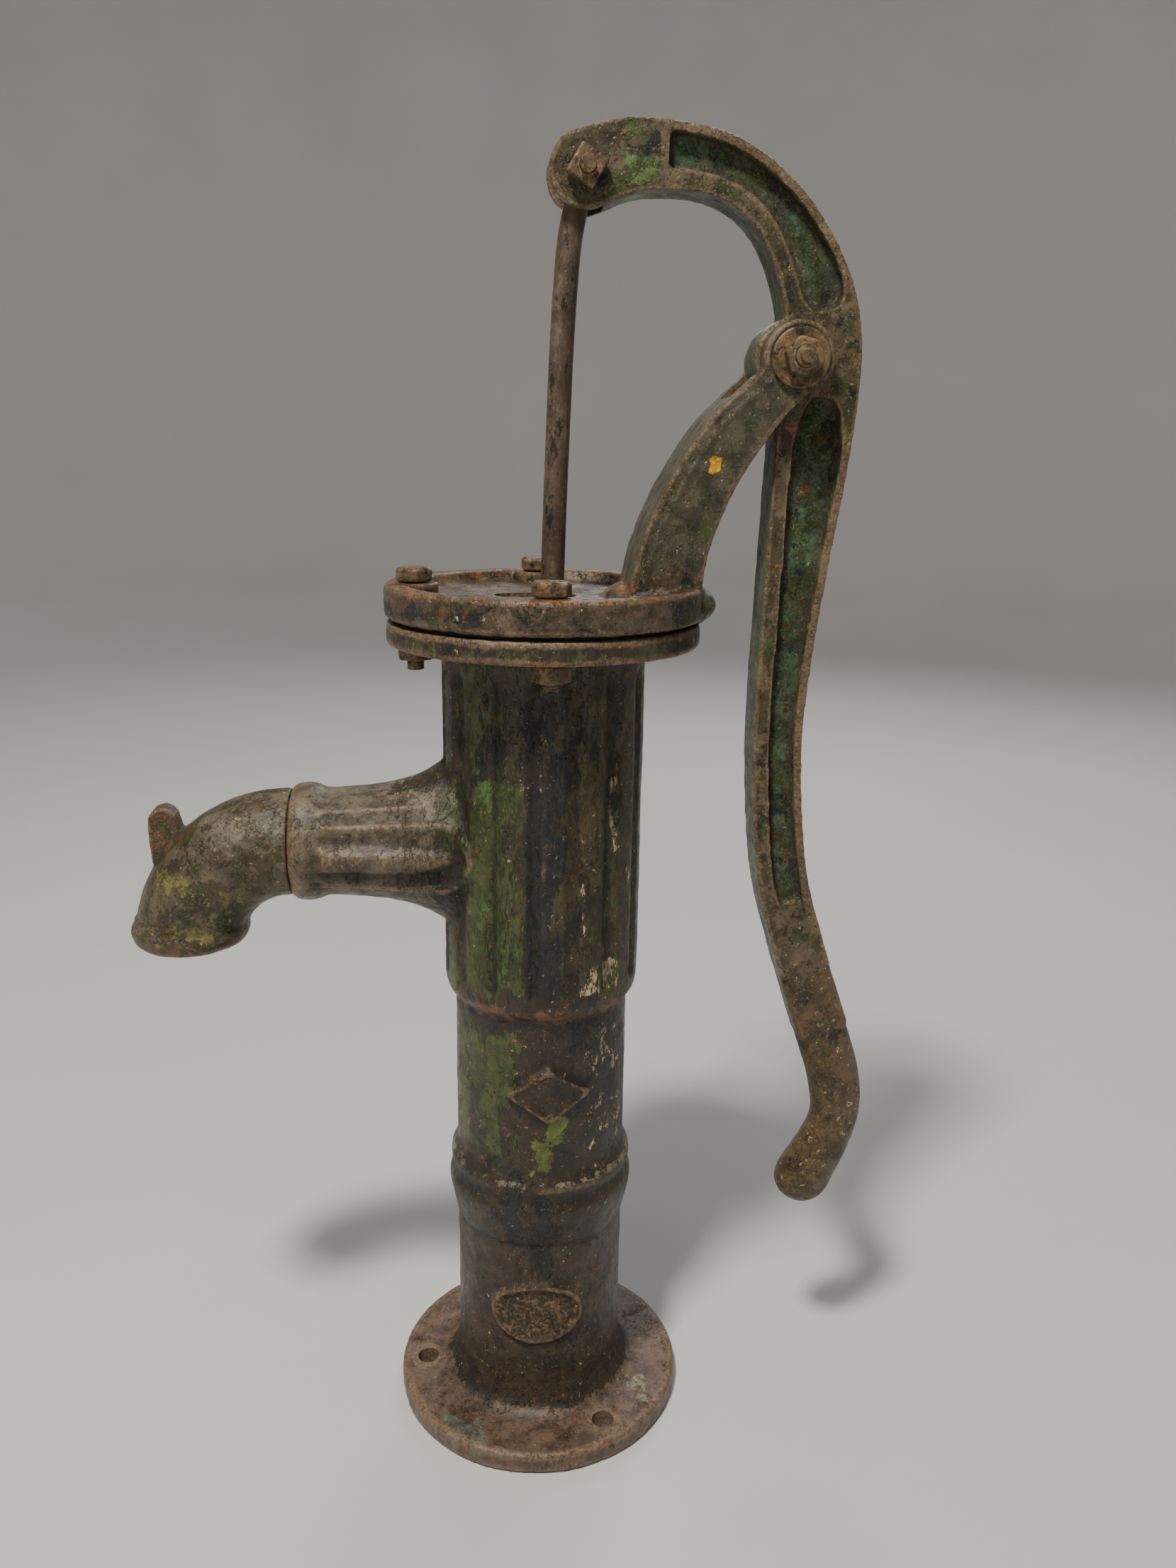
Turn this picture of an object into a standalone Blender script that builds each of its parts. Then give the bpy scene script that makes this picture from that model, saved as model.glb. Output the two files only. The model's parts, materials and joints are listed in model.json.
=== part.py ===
"""Hand well pump: a cast barrel on a bolted foot, a cover with a forked arm, and a swan-necked handle
that lifts a leather-cupped bucket through a bent rod.

Every length below is in millimetres; MM turns it into Blender's metres. The origin is the centre of the
foot's underside, +Z is up, the spout points along -X and the handle hangs on the +X side.
"""
import math

import bmesh
import bpy
from mathutils import Matrix, Vector

MM = 0.001
GAP = 0.3                      # left between pieces that touch

# Barrel
BASE_R = 86.0
BASE_T = 12.5
BASE_HOLE_R = 6.5
BASE_HOLE_PCR = 70.0
BASE_HOLE_ANGLES = (60, 180, 300)
FILLET_R = 61.5                # where the foot's top meets the column's flared base
COLUMN_R = 49.5
BELT_R = 54.5                  # widest part of the moulded belt
BELT_Z = (124.0, 172.0)
HEAD_R = 55.2
HEAD_Z = 268.0                 # underside of the head
BORE_R = 41.25                 # 3 1/4 inch cylinder
HEAD_BORE_R = 46.0
FLOOR_Z = 16.0
SUCTION_R = 22.0
FLANGE_R = 84.0
FLANGE_Z = (468.0, 480.5)
BARREL_STEPS = 40

# Spout
SPOUT_Z = 356.5
SPOUT_BORE_R = 24.0
BRANCH_R = (30.4, 33.0)        # at the collar and at the head
FLARE_R = (35.5, 41.0, 45.0)   # up and down, where the branch grows out of the head
FLARE_SHARE = 0.72             # width of the flare over its height
COLLAR_R = 32.3
COLLAR_X = (-138.0, -121.0)
ELBOW_CENTRE = (-140.0, 299.5)
ELBOW_R = 57.0
NOSE_R = 29.8
SPIGOT_R = 27.0
LIP_Z = 303.0
HOOK_CREST = (-207.5, 369.8)
HOOK_CREST_R = 8.0
HOOK_HALF = 6.5

# Cover and arm
GASKET_R = 80.0
GASKET_T = 1.2
COVER_R = 85.0
COVER_T = 17.7
DISH_DEPTH = 7.0
BOLT_PCR = 69.0
BOLT_ANGLES = {"left": 180, "front": -90, "rear": 90}
BOLT_R = 4.75
BOLT_HOLE_R = 5.5
BOLT_END_Z = 453.0
HEX_AF = 18.0                  # 3/8 inch hexagon
ROD_SLOT = (-4.5, 44.0, 22.0)  # centre along X, length, width
ARM_HALF = 25.0
FORK_HALF = 14.6
FORK_DEPTH = 35.0              # from the fulcrum to the slot's bottom, along the arm
CHEEK_R = 18.5
BOLT_BOSS_R = 13.0

# Handle, rod and their pivots
FULCRUM = (126.3, 615.0)
ROD_PIVOT = (18.6, 700.3)
HANDLE_HALF = 13.0
HUB_R = 20.5
HUB_HALF = 13.6
BOSS_R = 18.5
EYE_SLOT_HALF = 7.4
EYE_R = 12.5
EYE_HALF = 6.6
ROD_R = 6.35
ROD_END_Z = 296.0
FULCRUM_PIN_R = 5.4
ROD_PIN_R = 4.0
SQUARE_R = 11.0                # half the diagonal of the rod pin's square head and nut
NUT_T = 9.0
HEAD_T = 7.0
PIVOT_NUT_T = 8.2
WASHER_R = 15.0
WASHER_T = 2.5
FULCRUM_TIP_R = 3.3
RIM_W = 5.5                    # width of the handle's raised rims
POCKET_DEPTH = 6.0

# Centreline of the handle: x, z and half width, from the rod's end to the tip
HANDLE_LINE = (
    (18.6, 700.3, 18.4),
    (45.0, 707.5, 16.7),
    (84.0, 704.3, 14.9),
    (113.0, 687.0, 14.6),
    (134.0, 655.0, 18.0),
    (141.5, 620.0, 20.5),
    (139.0, 570.0, 20.3),
    (134.3, 509.0, 17.2),
    (130.6, 455.0, 14.8),
    (129.8, 405.0, 14.1),
    (136.0, 340.0, 14.6),
    (150.0, 289.0, 15.1),
    (167.0, 239.0, 15.8),
    (179.5, 200.0, 15.8),
    (180.0, 170.0, 15.2),
    (164.0, 134.0, 17.5),
)

# Bent rod: x and z of its centreline below the eye
ROD_LINE = (
    (18.6, 700.3),
    (12.4, 674.0),
    (9.9, 649.0),
    (7.9, 612.0),
    (5.6, 545.0),
    (3.8, 480.0),
    (0.6, 390.0),
    (0.0, ROD_END_Z),
)

# Arm: x and z along its outer edge up to the cheek, and down its inner edge
ARM_OUTER = (
    (42.0, 484.0),
    (44.0, 503.0),
    (51.0, 529.0),
    (63.5, 556.0),
    (80.0, 582.0),
    (97.0, 599.5),
    (106.0, 607.5),
)
ARM_INNER = (
    (142.0, 606.0),
    (134.0, 599.5),
    (124.0, 590.5),
    (110.7, 573.6),
    (97.0, 552.0),
    (87.5, 529.0),
    (82.5, 510.0),
    (80.5, 484.0),
)

# Bucket, at the top of its stroke
CROWN_Z = (316.0, 326.0)
CROWN_R = 33.0
CROWN_SLOT = (30.0, 14.0)
CROWN_PLAY = 3.3               # between the crown and the nut above it or the washer below it
BUCKET_R = 36.4
BUCKET_Z = (232.3, 256.0)
BUCKET_BORE_R = 15.0
NECK_R = 20.0
POST_R = 4.5
POST_Y = 28.0
LEATHER_R = 40.8
LEATHER_Z = (226.0, 250.0)
LEATHER_T = 4.0
FOLLOWER_Z = (216.0, 225.7)

# Foot valve
SEAT_R = 38.0
SEAT_BORE_R = 18.0
SEAT_T = 8.0
FLAP_R = 27.0
FLAP_T = 4.0
FLAP_HINGE_Y = 31.0
WEIGHT_R = 19.0
WEIGHT_T = 10.0

COLOURS = {
    "old_paint_iron": ((0.090, 0.085, 0.060), 0.75, 0.2),
    "handle_iron": ((0.130, 0.110, 0.080), 0.70, 0.2),
    "rusty_steel": ((0.200, 0.120, 0.070), 0.80, 0.4),
    "worn_steel": ((0.250, 0.220, 0.190), 0.55, 0.8),
    "leather": ((0.110, 0.055, 0.025), 0.75, 0.0),
    "gasket": ((0.020, 0.018, 0.016), 0.90, 0.0),
    "brass": ((0.550, 0.380, 0.140), 0.45, 1.0),
}


def clear_scene():
    for obj in list(bpy.data.objects):
        bpy.data.objects.remove(obj, do_unlink=True)


def collection(name):
    made = bpy.data.collections.new(name)
    bpy.context.scene.collection.children.link(made)
    return made


def finish(name):
    """The Principled material of one finish, made once."""
    if name in bpy.data.materials:
        return bpy.data.materials[name]
    colour, roughness, metallic = COLOURS[name]
    made = bpy.data.materials.new(name)
    made.use_nodes = True
    shader = made.node_tree.nodes["Principled BSDF"]
    shader.inputs["Base Color"].default_value = (*colour, 1.0)
    shader.inputs["Roughness"].default_value = roughness
    shader.inputs["Metallic"].default_value = metallic
    made.diffuse_color = (*colour, 1.0)
    return made


def place(name, mesh, group, slot=None):
    obj = bpy.data.objects.new(name, mesh)
    group.objects.link(obj)
    if slot:
        mesh.materials.clear()
        mesh.materials.append(finish(slot))
    else:
        obj.hide_render = True
        obj.display_type = "WIRE"
    return obj


def turned(name, profile, group, slot=None, steps=32):
    """A profile of (radius, height) turned about +Z. It runs down the outer side, and up the inner one."""
    mesh = bpy.data.meshes.new(name)
    points = [(r * MM, 0.0, z * MM) for r, z in profile]
    count = len(points)
    closed = profile[0][0] > 0
    edges = [(i, (i + 1) % count) for i in range(count if closed else count - 1)]
    mesh.from_pydata(points, edges, [])
    obj = place(name, mesh, group, slot)
    screw = obj.modifiers.new("Turn", "SCREW")
    screw.steps = steps
    screw.render_steps = steps
    screw.use_merge_vertices = True
    screw.merge_threshold = 0.00005
    screw.use_smooth_shade = True
    return obj


def ring(name, outer, inner, low, high, group, slot=None, steps=32):
    return turned(name, ((outer, high), (outer, low), (inner, low), (inner, high)), group, slot, steps)


def prism(name, radius, start, end, group, slot=None, sides=24, turn=0.0):
    """A round or polygonal bar between two points."""
    start = Vector(start) * MM
    end = Vector(end) * MM
    axis = end - start
    shape = bmesh.new()
    bmesh.ops.create_cone(shape, cap_ends=True, segments=sides, radius1=radius * MM, radius2=radius * MM,
                          depth=axis.length)
    matrix = Matrix.Translation((start + end) / 2) @ axis.to_track_quat("Z", "Y").to_matrix().to_4x4()
    bmesh.ops.transform(shape, matrix=matrix @ Matrix.Rotation(turn, 4, "Z"), verts=shape.verts)
    mesh = bpy.data.meshes.new(name)
    shape.to_mesh(mesh)
    shape.free()
    return place(name, mesh, group, slot)


def block(name, low, high, group, slot=None):
    shape = bmesh.new()
    bmesh.ops.create_cube(shape, size=1.0)
    size = [(b - a) * MM for a, b in zip(low, high)]
    middle = [(a + b) / 2 * MM for a, b in zip(low, high)]
    matrix = Matrix.Translation(middle) @ Matrix.Diagonal((*size, 1.0))
    bmesh.ops.transform(shape, matrix=matrix, verts=shape.verts)
    mesh = bpy.data.meshes.new(name)
    shape.to_mesh(mesh)
    shape.free()
    return place(name, mesh, group, slot)


def welded(curve, name, group, slot=None):
    """The mesh of a curve object with its caps joined to its sides. The curve is removed."""
    bpy.context.view_layer.update()
    graph = bpy.context.evaluated_depsgraph_get()
    mesh = bpy.data.meshes.new_from_object(curve.evaluated_get(graph))
    shape = bmesh.new()
    shape.from_mesh(mesh)
    bmesh.ops.remove_doubles(shape, verts=shape.verts, dist=0.00001)
    bmesh.ops.recalc_face_normals(shape, faces=shape.faces)
    shape.to_mesh(mesh)
    shape.free()
    matrix = curve.matrix_world.copy()
    bpy.data.objects.remove(curve, do_unlink=True)
    obj = place(name, mesh, group, slot)
    obj.matrix_world = matrix
    return obj


def plate(name, outline, low, high, group, slot=None):
    """A flat outline of (x, z) points, filled and given its thickness from y = low to y = high."""
    curve = bpy.data.curves.new(name + "_outline", "CURVE")
    curve.dimensions = "2D"
    curve.fill_mode = "BOTH"
    curve.extrude = (high - low) / 2 * MM
    spline = curve.splines.new("POLY")
    spline.points.add(len(outline) - 1)
    for point, (x, z) in zip(spline.points, outline):
        point.co = (x * MM, z * MM, 0.0, 1.0)
    spline.use_cyclic_u = True
    obj = bpy.data.objects.new(name + "_outline", curve)
    group.objects.link(obj)
    obj.rotation_euler = (math.pi / 2, 0.0, 0.0)
    obj.location = (0.0, (low + high) / 2 * MM, 0.0)
    return welded(obj, name, group, slot)


def bar(name, points, radius, group, slot=None, resolution=4):
    """A round bar along (x, y, z) points."""
    curve = bpy.data.curves.new(name + "_path", "CURVE")
    curve.dimensions = "3D"
    curve.bevel_depth = radius * MM
    curve.bevel_resolution = resolution
    curve.use_fill_caps = True
    spline = curve.splines.new("POLY")
    spline.points.add(len(points) - 1)
    for point, place_at in zip(spline.points, points):
        point.co = (*[v * MM for v in place_at], 1.0)
    obj = bpy.data.objects.new(name + "_path", curve)
    group.objects.link(obj)
    return welded(obj, name, group, slot)


def boolean(target, operation, *others):
    for other in others:
        step = target.modifiers.new(operation.title() + " " + other.name, "BOOLEAN")
        step.operation = operation
        step.object = other
    return target


def rounded(obj, width, segments=2, angle=40):
    bevel = obj.modifiers.new("Rounded edges", "BEVEL")
    bevel.width = width * MM
    bevel.segments = segments
    bevel.limit_method = "ANGLE"
    bevel.angle_limit = math.radians(angle)
    return obj


def arc(centre, radius, start, end, count):
    """Points on an arc, its angles in degrees."""
    cx, cz = centre
    steps = [math.radians(start + (end - start) * i / count) for i in range(count + 1)]
    return [(cx + radius * math.cos(a), cz + radius * math.sin(a)) for a in steps]


def between(t, before, start, end, after):
    """The Catmull-Rom value at the share t of the way from start to end."""
    square = 2 * before - 5 * start + 4 * end - after
    cube = 3 * start - before - 3 * end + after
    return 0.5 * (2 * start + (end - before) * t + square * t ** 2 + cube * t ** 3)


def smooth(points, per_span):
    """A Catmull-Rom curve through tuples of any length."""
    padded = [points[0], *points, points[-1]]
    made = []
    for a, b, c, d in zip(padded, padded[1:], padded[2:], padded[3:]):
        for i in range(per_span):
            t = i / per_span
            made.append(tuple(between(t, *values) for values in zip(a, b, c, d)))
    made.append(tuple(points[-1]))
    return made


def sides_of(line, inset=0.0):
    """The two edges of a band given by centre points and half widths."""
    left, right = [], []
    for i, (x, z, half) in enumerate(line):
        before = line[max(i - 1, 0)]
        after = line[min(i + 1, len(line) - 1)]
        along = Vector((after[0] - before[0], after[1] - before[1])).normalized()
        width = half - inset
        left.append((x - along.y * width, z + along.x * width))
        right.append((x + along.y * width, z - along.x * width))
    return left, right


def around(angle, radius):
    a = math.radians(angle)
    return radius * math.cos(a), radius * math.sin(a)


def make_bolt_holes(cutters):
    """One cutter a bolt, through the cover, the gasket and the barrel's flange."""
    holes = []
    for side, angle in BOLT_ANGLES.items():
        x, y = around(angle, BOLT_PCR)
        low = (x, y, FLANGE_Z[0] - 8)
        high = (x, y, FLANGE_Z[1] + 30)
        holes.append(prism(f"bolt_hole_{side}", BOLT_HOLE_R, low, high, cutters, sides=16, turn=0.1))
    return holes


def make_barrel(parts, cutters, bolt_holes):
    flange_low, flange_high = FLANGE_Z
    belt_low, belt_high = BELT_Z
    outer = turned("barrel", (
        (0.0, flange_high), (FLANGE_R - 1, flange_high), (FLANGE_R, flange_high - 1),
        (FLANGE_R, flange_low + 1), (FLANGE_R - 1, flange_low), (HEAD_R, flange_low),
        (HEAD_R, HEAD_Z + 16), (HEAD_R - 1.5, HEAD_Z + 7), (HEAD_R - 4, HEAD_Z + 2), (COLUMN_R, HEAD_Z),
        (COLUMN_R, belt_high), (BELT_R - 1.5, belt_high - 9), (BELT_R - 2.5, belt_high - 15),
        (BELT_R, belt_low + 26), (BELT_R - 0.5, belt_low + 19), (BELT_R - 3, belt_low + 7),
        (COLUMN_R + 0.8, belt_low + 0.5), (COLUMN_R, belt_low), (COLUMN_R, BASE_T + 15.5),
        (COLUMN_R + 2.5, BASE_T + 6.5), (COLUMN_R + 7, BASE_T + 2), (FILLET_R, BASE_T),
        (BASE_R - 1.5, BASE_T), (BASE_R, BASE_T - 1.5), (BASE_R, 0), (0.0, 0)),
        parts, "old_paint_iron", BARREL_STEPS)
    collar_out, collar_in = (-x for x in COLLAR_X)
    near, far = BRANCH_R
    branch = turned("branch_form", (
        (0.0, collar_out), (COLLAR_R - 3, collar_out), (COLLAR_R, collar_out - 4),
        (COLLAR_R, collar_in + 4), (COLLAR_R - 2.5, collar_in), (near, collar_in - 11),
        (far - 1.5, HEAD_R + 32), (far, HEAD_R - 10), (0.0, HEAD_R - 10)), cutters, steps=32)
    flare = turned("branch_flare_form", (
        (0.0, HEAD_R + 30), (far - 2, HEAD_R + 30), (FLARE_R[0], HEAD_R + 19), (FLARE_R[1], HEAD_R + 7),
        (FLARE_R[2], HEAD_R - 5), (FLARE_R[2], HEAD_R - 13), (0.0, HEAD_R - 13)), cutters, steps=28)
    for form, share in ((branch, 1.0), (flare, FLARE_SHARE)):
        form.rotation_euler = (0.0, -math.pi / 2, 0.0)
        form.location = (0.0, 0.0, SPOUT_Z * MM)
        form.scale = (1.0, share, 1.0)
    hollow = turned("cylinder_hollow", (
        (0.0, 500), (HEAD_BORE_R, 500), (HEAD_BORE_R, 292), (BORE_R, 285), (BORE_R, FLOOR_Z),
        (SUCTION_R, FLOOR_Z), (SUCTION_R, -5), (0.0, -5)), cutters, steps=BARREL_STEPS)
    bore = prism("spout_bore", SPOUT_BORE_R, (-150, 0, SPOUT_Z), (-20, 0, SPOUT_Z), cutters)
    seat = prism("spigot_seat", SPIGOT_R + GAP, (-150, 0, SPOUT_Z), (COLLAR_X[1] - 6, 0, SPOUT_Z), cutters,
                 sides=28, turn=0.05)
    holes = []
    for i, angle in enumerate(BASE_HOLE_ANGLES):
        x, y = around(angle, BASE_HOLE_PCR)
        holes.append(prism(f"foot_hole_{i + 1}", BASE_HOLE_R, (x, y, -5), (x, y, 20), cutters, sides=16))
    boolean(outer, "UNION", branch, flare)
    boolean(outer, "DIFFERENCE", hollow, bore, seat, *holes, *bolt_holes)


def make_spout(parts, cutters):
    cx, cz = ELBOW_CENTRE
    path = [(x, 0, z) for x, z in arc(ELBOW_CENTRE, ELBOW_R, 90, 180, 10)]
    start = (COLLAR_X[0] - GAP, 0, SPOUT_Z)
    end = (cx - ELBOW_R, 0, LIP_Z)
    nose = bar("spout_nose", [start, *path[:-1], end], NOSE_R, parts, "old_paint_iron", resolution=6)
    rounded(nose, 2.0, 2, 60)
    spigot_end = (COLLAR_X[1] - 6 - GAP, 0, SPOUT_Z)
    spigot = prism("spigot_form", SPIGOT_R, (-150, 0, SPOUT_Z), spigot_end, cutters)
    crest = arc(HOOK_CREST, HOOK_CREST_R, 10, 180, 6)
    outline = [(-196, 352), (-199.5, 371), *crest, (-214.6, 350), (-212, 338)]
    hook = plate("hook_form", outline, -HOOK_HALF, HOOK_HALF, cutters)
    rounded(hook, 3.0)
    bore = bar("nose_bore", [(-110, 0, SPOUT_Z), *path[:-1], (cx - ELBOW_R, 0, LIP_Z - 10)], SPOUT_BORE_R,
               cutters, resolution=6)
    boolean(nose, "UNION", spigot, hook)
    boolean(nose, "DIFFERENCE", bore)


def make_cover(parts, cutters, bolt_holes):
    low = FLANGE_Z[1] + 2 * GAP + GASKET_T
    top = low + COVER_T
    floor = top - DISH_DEPTH
    gasket = ring("cover_gasket", GASKET_R, HEAD_BORE_R + 1, FLANGE_Z[1] + GAP, low - GAP, parts, "gasket",
                  BARREL_STEPS)
    boolean(gasket, "DIFFERENCE", *bolt_holes)
    cover = turned("cover_bracket", (
        (0.0, floor), (70, floor), (74, top), (COVER_R - 1.5, top), (COVER_R, top - 1.5),
        (COVER_R, low + 1), (COVER_R - 1, low), (0.0, low)), parts, "old_paint_iron", BARREL_STEPS)
    cheek = arc(FULCRUM, CHEEK_R, 195, -20, 14)
    outline = [*smooth(ARM_OUTER, 2), *cheek, *smooth(ARM_INNER, 2)]
    arm = plate("arm_form", outline, -ARM_HALF, ARM_HALF, cutters)
    rounded(arm, 4.0)
    fx, fz = FULCRUM
    away = Vector((78 - fx, 550 - fz)).normalized()
    across = Vector((-away.y, away.x))
    corners = [Vector(FULCRUM) + away * a + across * b
               for a, b in ((FORK_DEPTH, -60), (FORK_DEPTH, 60), (-60, 60), (-60, -60))]
    slot = plate("fork_slot", [tuple(c) for c in corners], -FORK_HALF, FORK_HALF, cutters)
    pin_hole = prism("fulcrum_hole", FULCRUM_PIN_R + 0.3, (fx, -40, fz), (fx, 40, fz), cutters, sides=16)
    bosses = []
    for side, angle in BOLT_ANGLES.items():
        x, y = around(angle, BOLT_PCR)
        bosses.append(prism(f"boss_form_{side}", BOLT_BOSS_R, (x, y, floor - 4), (x, y, top - 0.1), cutters,
                            sides=20))
    middle, length, width = ROD_SLOT
    half = length / 2 - width / 2
    ends = [prism(f"rod_slot_end_{i + 1}", width / 2, (x, 0, low - 5), (x, 0, top + 5), cutters)
            for i, x in enumerate((middle - half, middle + half))]
    run = block("rod_slot_middle", (middle - half, -width / 2, low - 5), (middle + half, width / 2, top + 5),
                cutters)
    boolean(arm, "DIFFERENCE", slot, pin_hole)
    boolean(cover, "UNION", arm, *bosses)
    boolean(cover, "DIFFERENCE", *bolt_holes, *ends, run)
    for side, angle in BOLT_ANGLES.items():
        x, y = around(angle, BOLT_PCR)
        make_cover_bolt(side, x, y, top, parts, cutters)


def make_cover_bolt(side, x, y, top, parts, cutters):
    hex_r = HEX_AF / math.sqrt(3)
    seat = top + GAP
    nut_top = FLANGE_Z[0] - GAP
    nut_low = nut_top - NUT_T
    bolt = prism(f"cover_bolt_{side}", BOLT_R, (x, y, BOLT_END_Z), (x, y, seat + 3), parts, "rusty_steel",
                 sides=16)
    head = prism(f"bolt_head_form_{side}", hex_r, (x, y, seat), (x, y, seat + HEAD_T + 0.5), cutters, sides=6)
    boolean(bolt, "UNION", rounded(head, 0.8, 1))
    nut = prism(f"cover_nut_{side}", hex_r, (x, y, nut_low), (x, y, nut_top), parts, "rusty_steel", sides=6)
    thread = prism(f"nut_thread_{side}", BOLT_R + GAP, (x, y, nut_low - 5), (x, y, nut_top + 5), cutters,
                   sides=16)
    boolean(rounded(nut, 0.8, 1), "DIFFERENCE", thread)


def make_handle(parts, cutters):
    line = smooth(HANDLE_LINE, 3)
    left, right = sides_of(line)
    tip_x, tip_z, tip_r = HANDLE_LINE[-1]
    start = math.degrees(math.atan2(left[-1][1] - tip_z, left[-1][0] - tip_x))
    tip = arc((tip_x, tip_z), tip_r, start, start - 180, 10)
    body = [*left[1:-1], *tip, *reversed(right[1:-1]), *arc(ROD_PIVOT, BOSS_R, 282, 108, 12)]
    fx, fz = FULCRUM
    px, pz = ROD_PIVOT
    handle = plate("handle", body, -HANDLE_HALF, HANDLE_HALF, parts, "handle_iron")
    rounded(handle, 4.0)
    hub = prism("hub_form", HUB_R, (fx, -HUB_HALF, fz), (fx, HUB_HALF, fz), cutters)
    boolean(handle, "UNION", hub)
    spans = {"upper": line[7:13], "lower": line[19:31]}
    for name, span in spans.items():
        edge, back = sides_of(span, RIM_W)
        for side, sign in (("front", -1), ("rear", 1)):
            low, high = sorted((sign * (HANDLE_HALF - POCKET_DEPTH), sign * 20.0))
            pocket = plate(f"{name}_pocket_{side}", [*edge, *reversed(back)], low, high, cutters)
            boolean(handle, "DIFFERENCE", pocket)
    around_eye = arc(ROD_PIVOT, EYE_R + 2, -50, 140, 12)
    outline = [(px + 8, pz - 40), *around_eye, (px - 40, pz + 9), (px - 40, pz - 40)]
    swing_room = plate("rod_swing_room", outline, -EYE_SLOT_HALF, EYE_SLOT_HALF, cutters)
    fulcrum = prism("hub_hole", FULCRUM_PIN_R + 0.4, (fx, -40, fz), (fx, 40, fz), cutters, sides=16, turn=0.1)
    pin = prism("boss_hole", ROD_PIN_R + GAP, (px, -40, pz), (px, 40, pz), cutters, sides=16)
    boolean(handle, "DIFFERENCE", swing_room, fulcrum, pin)


def make_pivots(parts, cutters):
    fx, fz = FULCRUM
    px, pz = ROD_PIVOT
    hex_r = HEX_AF / math.sqrt(3)
    rear = ARM_HALF + GAP
    front = -ARM_HALF - GAP
    pin = prism("fulcrum_pin", FULCRUM_PIN_R, (fx, front - 13, fz), (fx, rear + 3, fz), parts, "rusty_steel",
                sides=16)
    head = prism("fulcrum_head_form", hex_r, (fx, rear, fz), (fx, rear + HEAD_T, fz), cutters, sides=6)
    tip_end = (fx, front - 16, fz)
    tip = prism("fulcrum_tip_form", FULCRUM_TIP_R, tip_end, (fx, front - 12, fz), cutters, sides=12)
    boolean(pin, "UNION", rounded(head, 0.8, 1), tip)
    washer_low = front - WASHER_T
    washer = prism("fulcrum_washer", WASHER_R, (fx, washer_low, fz), (fx, front, fz), parts, "rusty_steel")
    nut_low = washer_low - GAP
    nut_end = (fx, nut_low - PIVOT_NUT_T, fz)
    nut = prism("fulcrum_nut", hex_r, nut_end, (fx, nut_low, fz), parts, "rusty_steel", sides=6, turn=0.3)
    hole_end = (fx, front - 30, fz)
    hole = prism("fulcrum_nut_hole", FULCRUM_PIN_R + GAP, hole_end, (fx, 0, fz), cutters, sides=16)
    boolean(washer, "DIFFERENCE", hole)
    boolean(rounded(nut, 1.2, 1), "DIFFERENCE", hole)
    edge = HANDLE_HALF + GAP
    rod_pin = prism("rod_pin", ROD_PIN_R, (px, -edge - 10, pz), (px, edge + 3, pz), parts, "rusty_steel",
                    sides=16)
    square = prism("rod_pin_head_form", SQUARE_R, (px, edge, pz), (px, edge + 6, pz), cutters, sides=4)
    boolean(rod_pin, "UNION", square)
    rod_nut = prism("rod_pin_nut", SQUARE_R, (px, -edge - 7, pz), (px, -edge, pz), parts, "rusty_steel",
                    sides=4, turn=0.25)
    rod_hole = prism("rod_pin_nut_hole", ROD_PIN_R + GAP, (px, -40, pz), (px, 0, pz), cutters, sides=16)
    boolean(rounded(rod_nut, 0.8, 1), "DIFFERENCE", rod_hole)


def make_rod(parts, cutters):
    px, pz = ROD_PIVOT
    points = [(x, 0, z) for x, z in smooth(ROD_LINE, 2)]
    rod = bar("piston_rod", points, ROD_R, parts, "worn_steel", resolution=3)
    eye = prism("eye_form", EYE_R, (px, -EYE_HALF, pz), (px, EYE_HALF, pz), cutters)
    hole = prism("eye_hole", ROD_PIN_R + 0.5, (px, -20, pz), (px, 20, pz), cutters, sides=16)
    boolean(rod, "UNION", eye)
    boolean(rod, "DIFFERENCE", hole)
    low, high = CROWN_Z
    hex_r = HEX_AF / math.sqrt(3)
    washer_top = low - CROWN_PLAY
    washer_low = washer_top - WASHER_T
    nut_top = washer_low - GAP
    stack = (
        ("rod_nut_upper", hex_r, high + CROWN_PLAY, high + CROWN_PLAY + NUT_T, 6, 0.05),
        ("rod_washer", 11.5, washer_low, washer_top, 24, 0.0),
        ("rod_nut_lower", hex_r, nut_top - NUT_T, nut_top, 6, 0.0),
    )
    for name, radius, bottom, top, sides, x in stack:
        piece = prism(name, radius, (x, 0, bottom), (x, 0, top), parts, "rusty_steel", sides=sides)
        hole_end = (x, 0, bottom - 5)
        clear = prism(name + "_hole", ROD_R + GAP + 0.1, hole_end, (x, 0, top + 5), cutters, sides=16)
        boolean(piece, "DIFFERENCE", clear)


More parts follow.
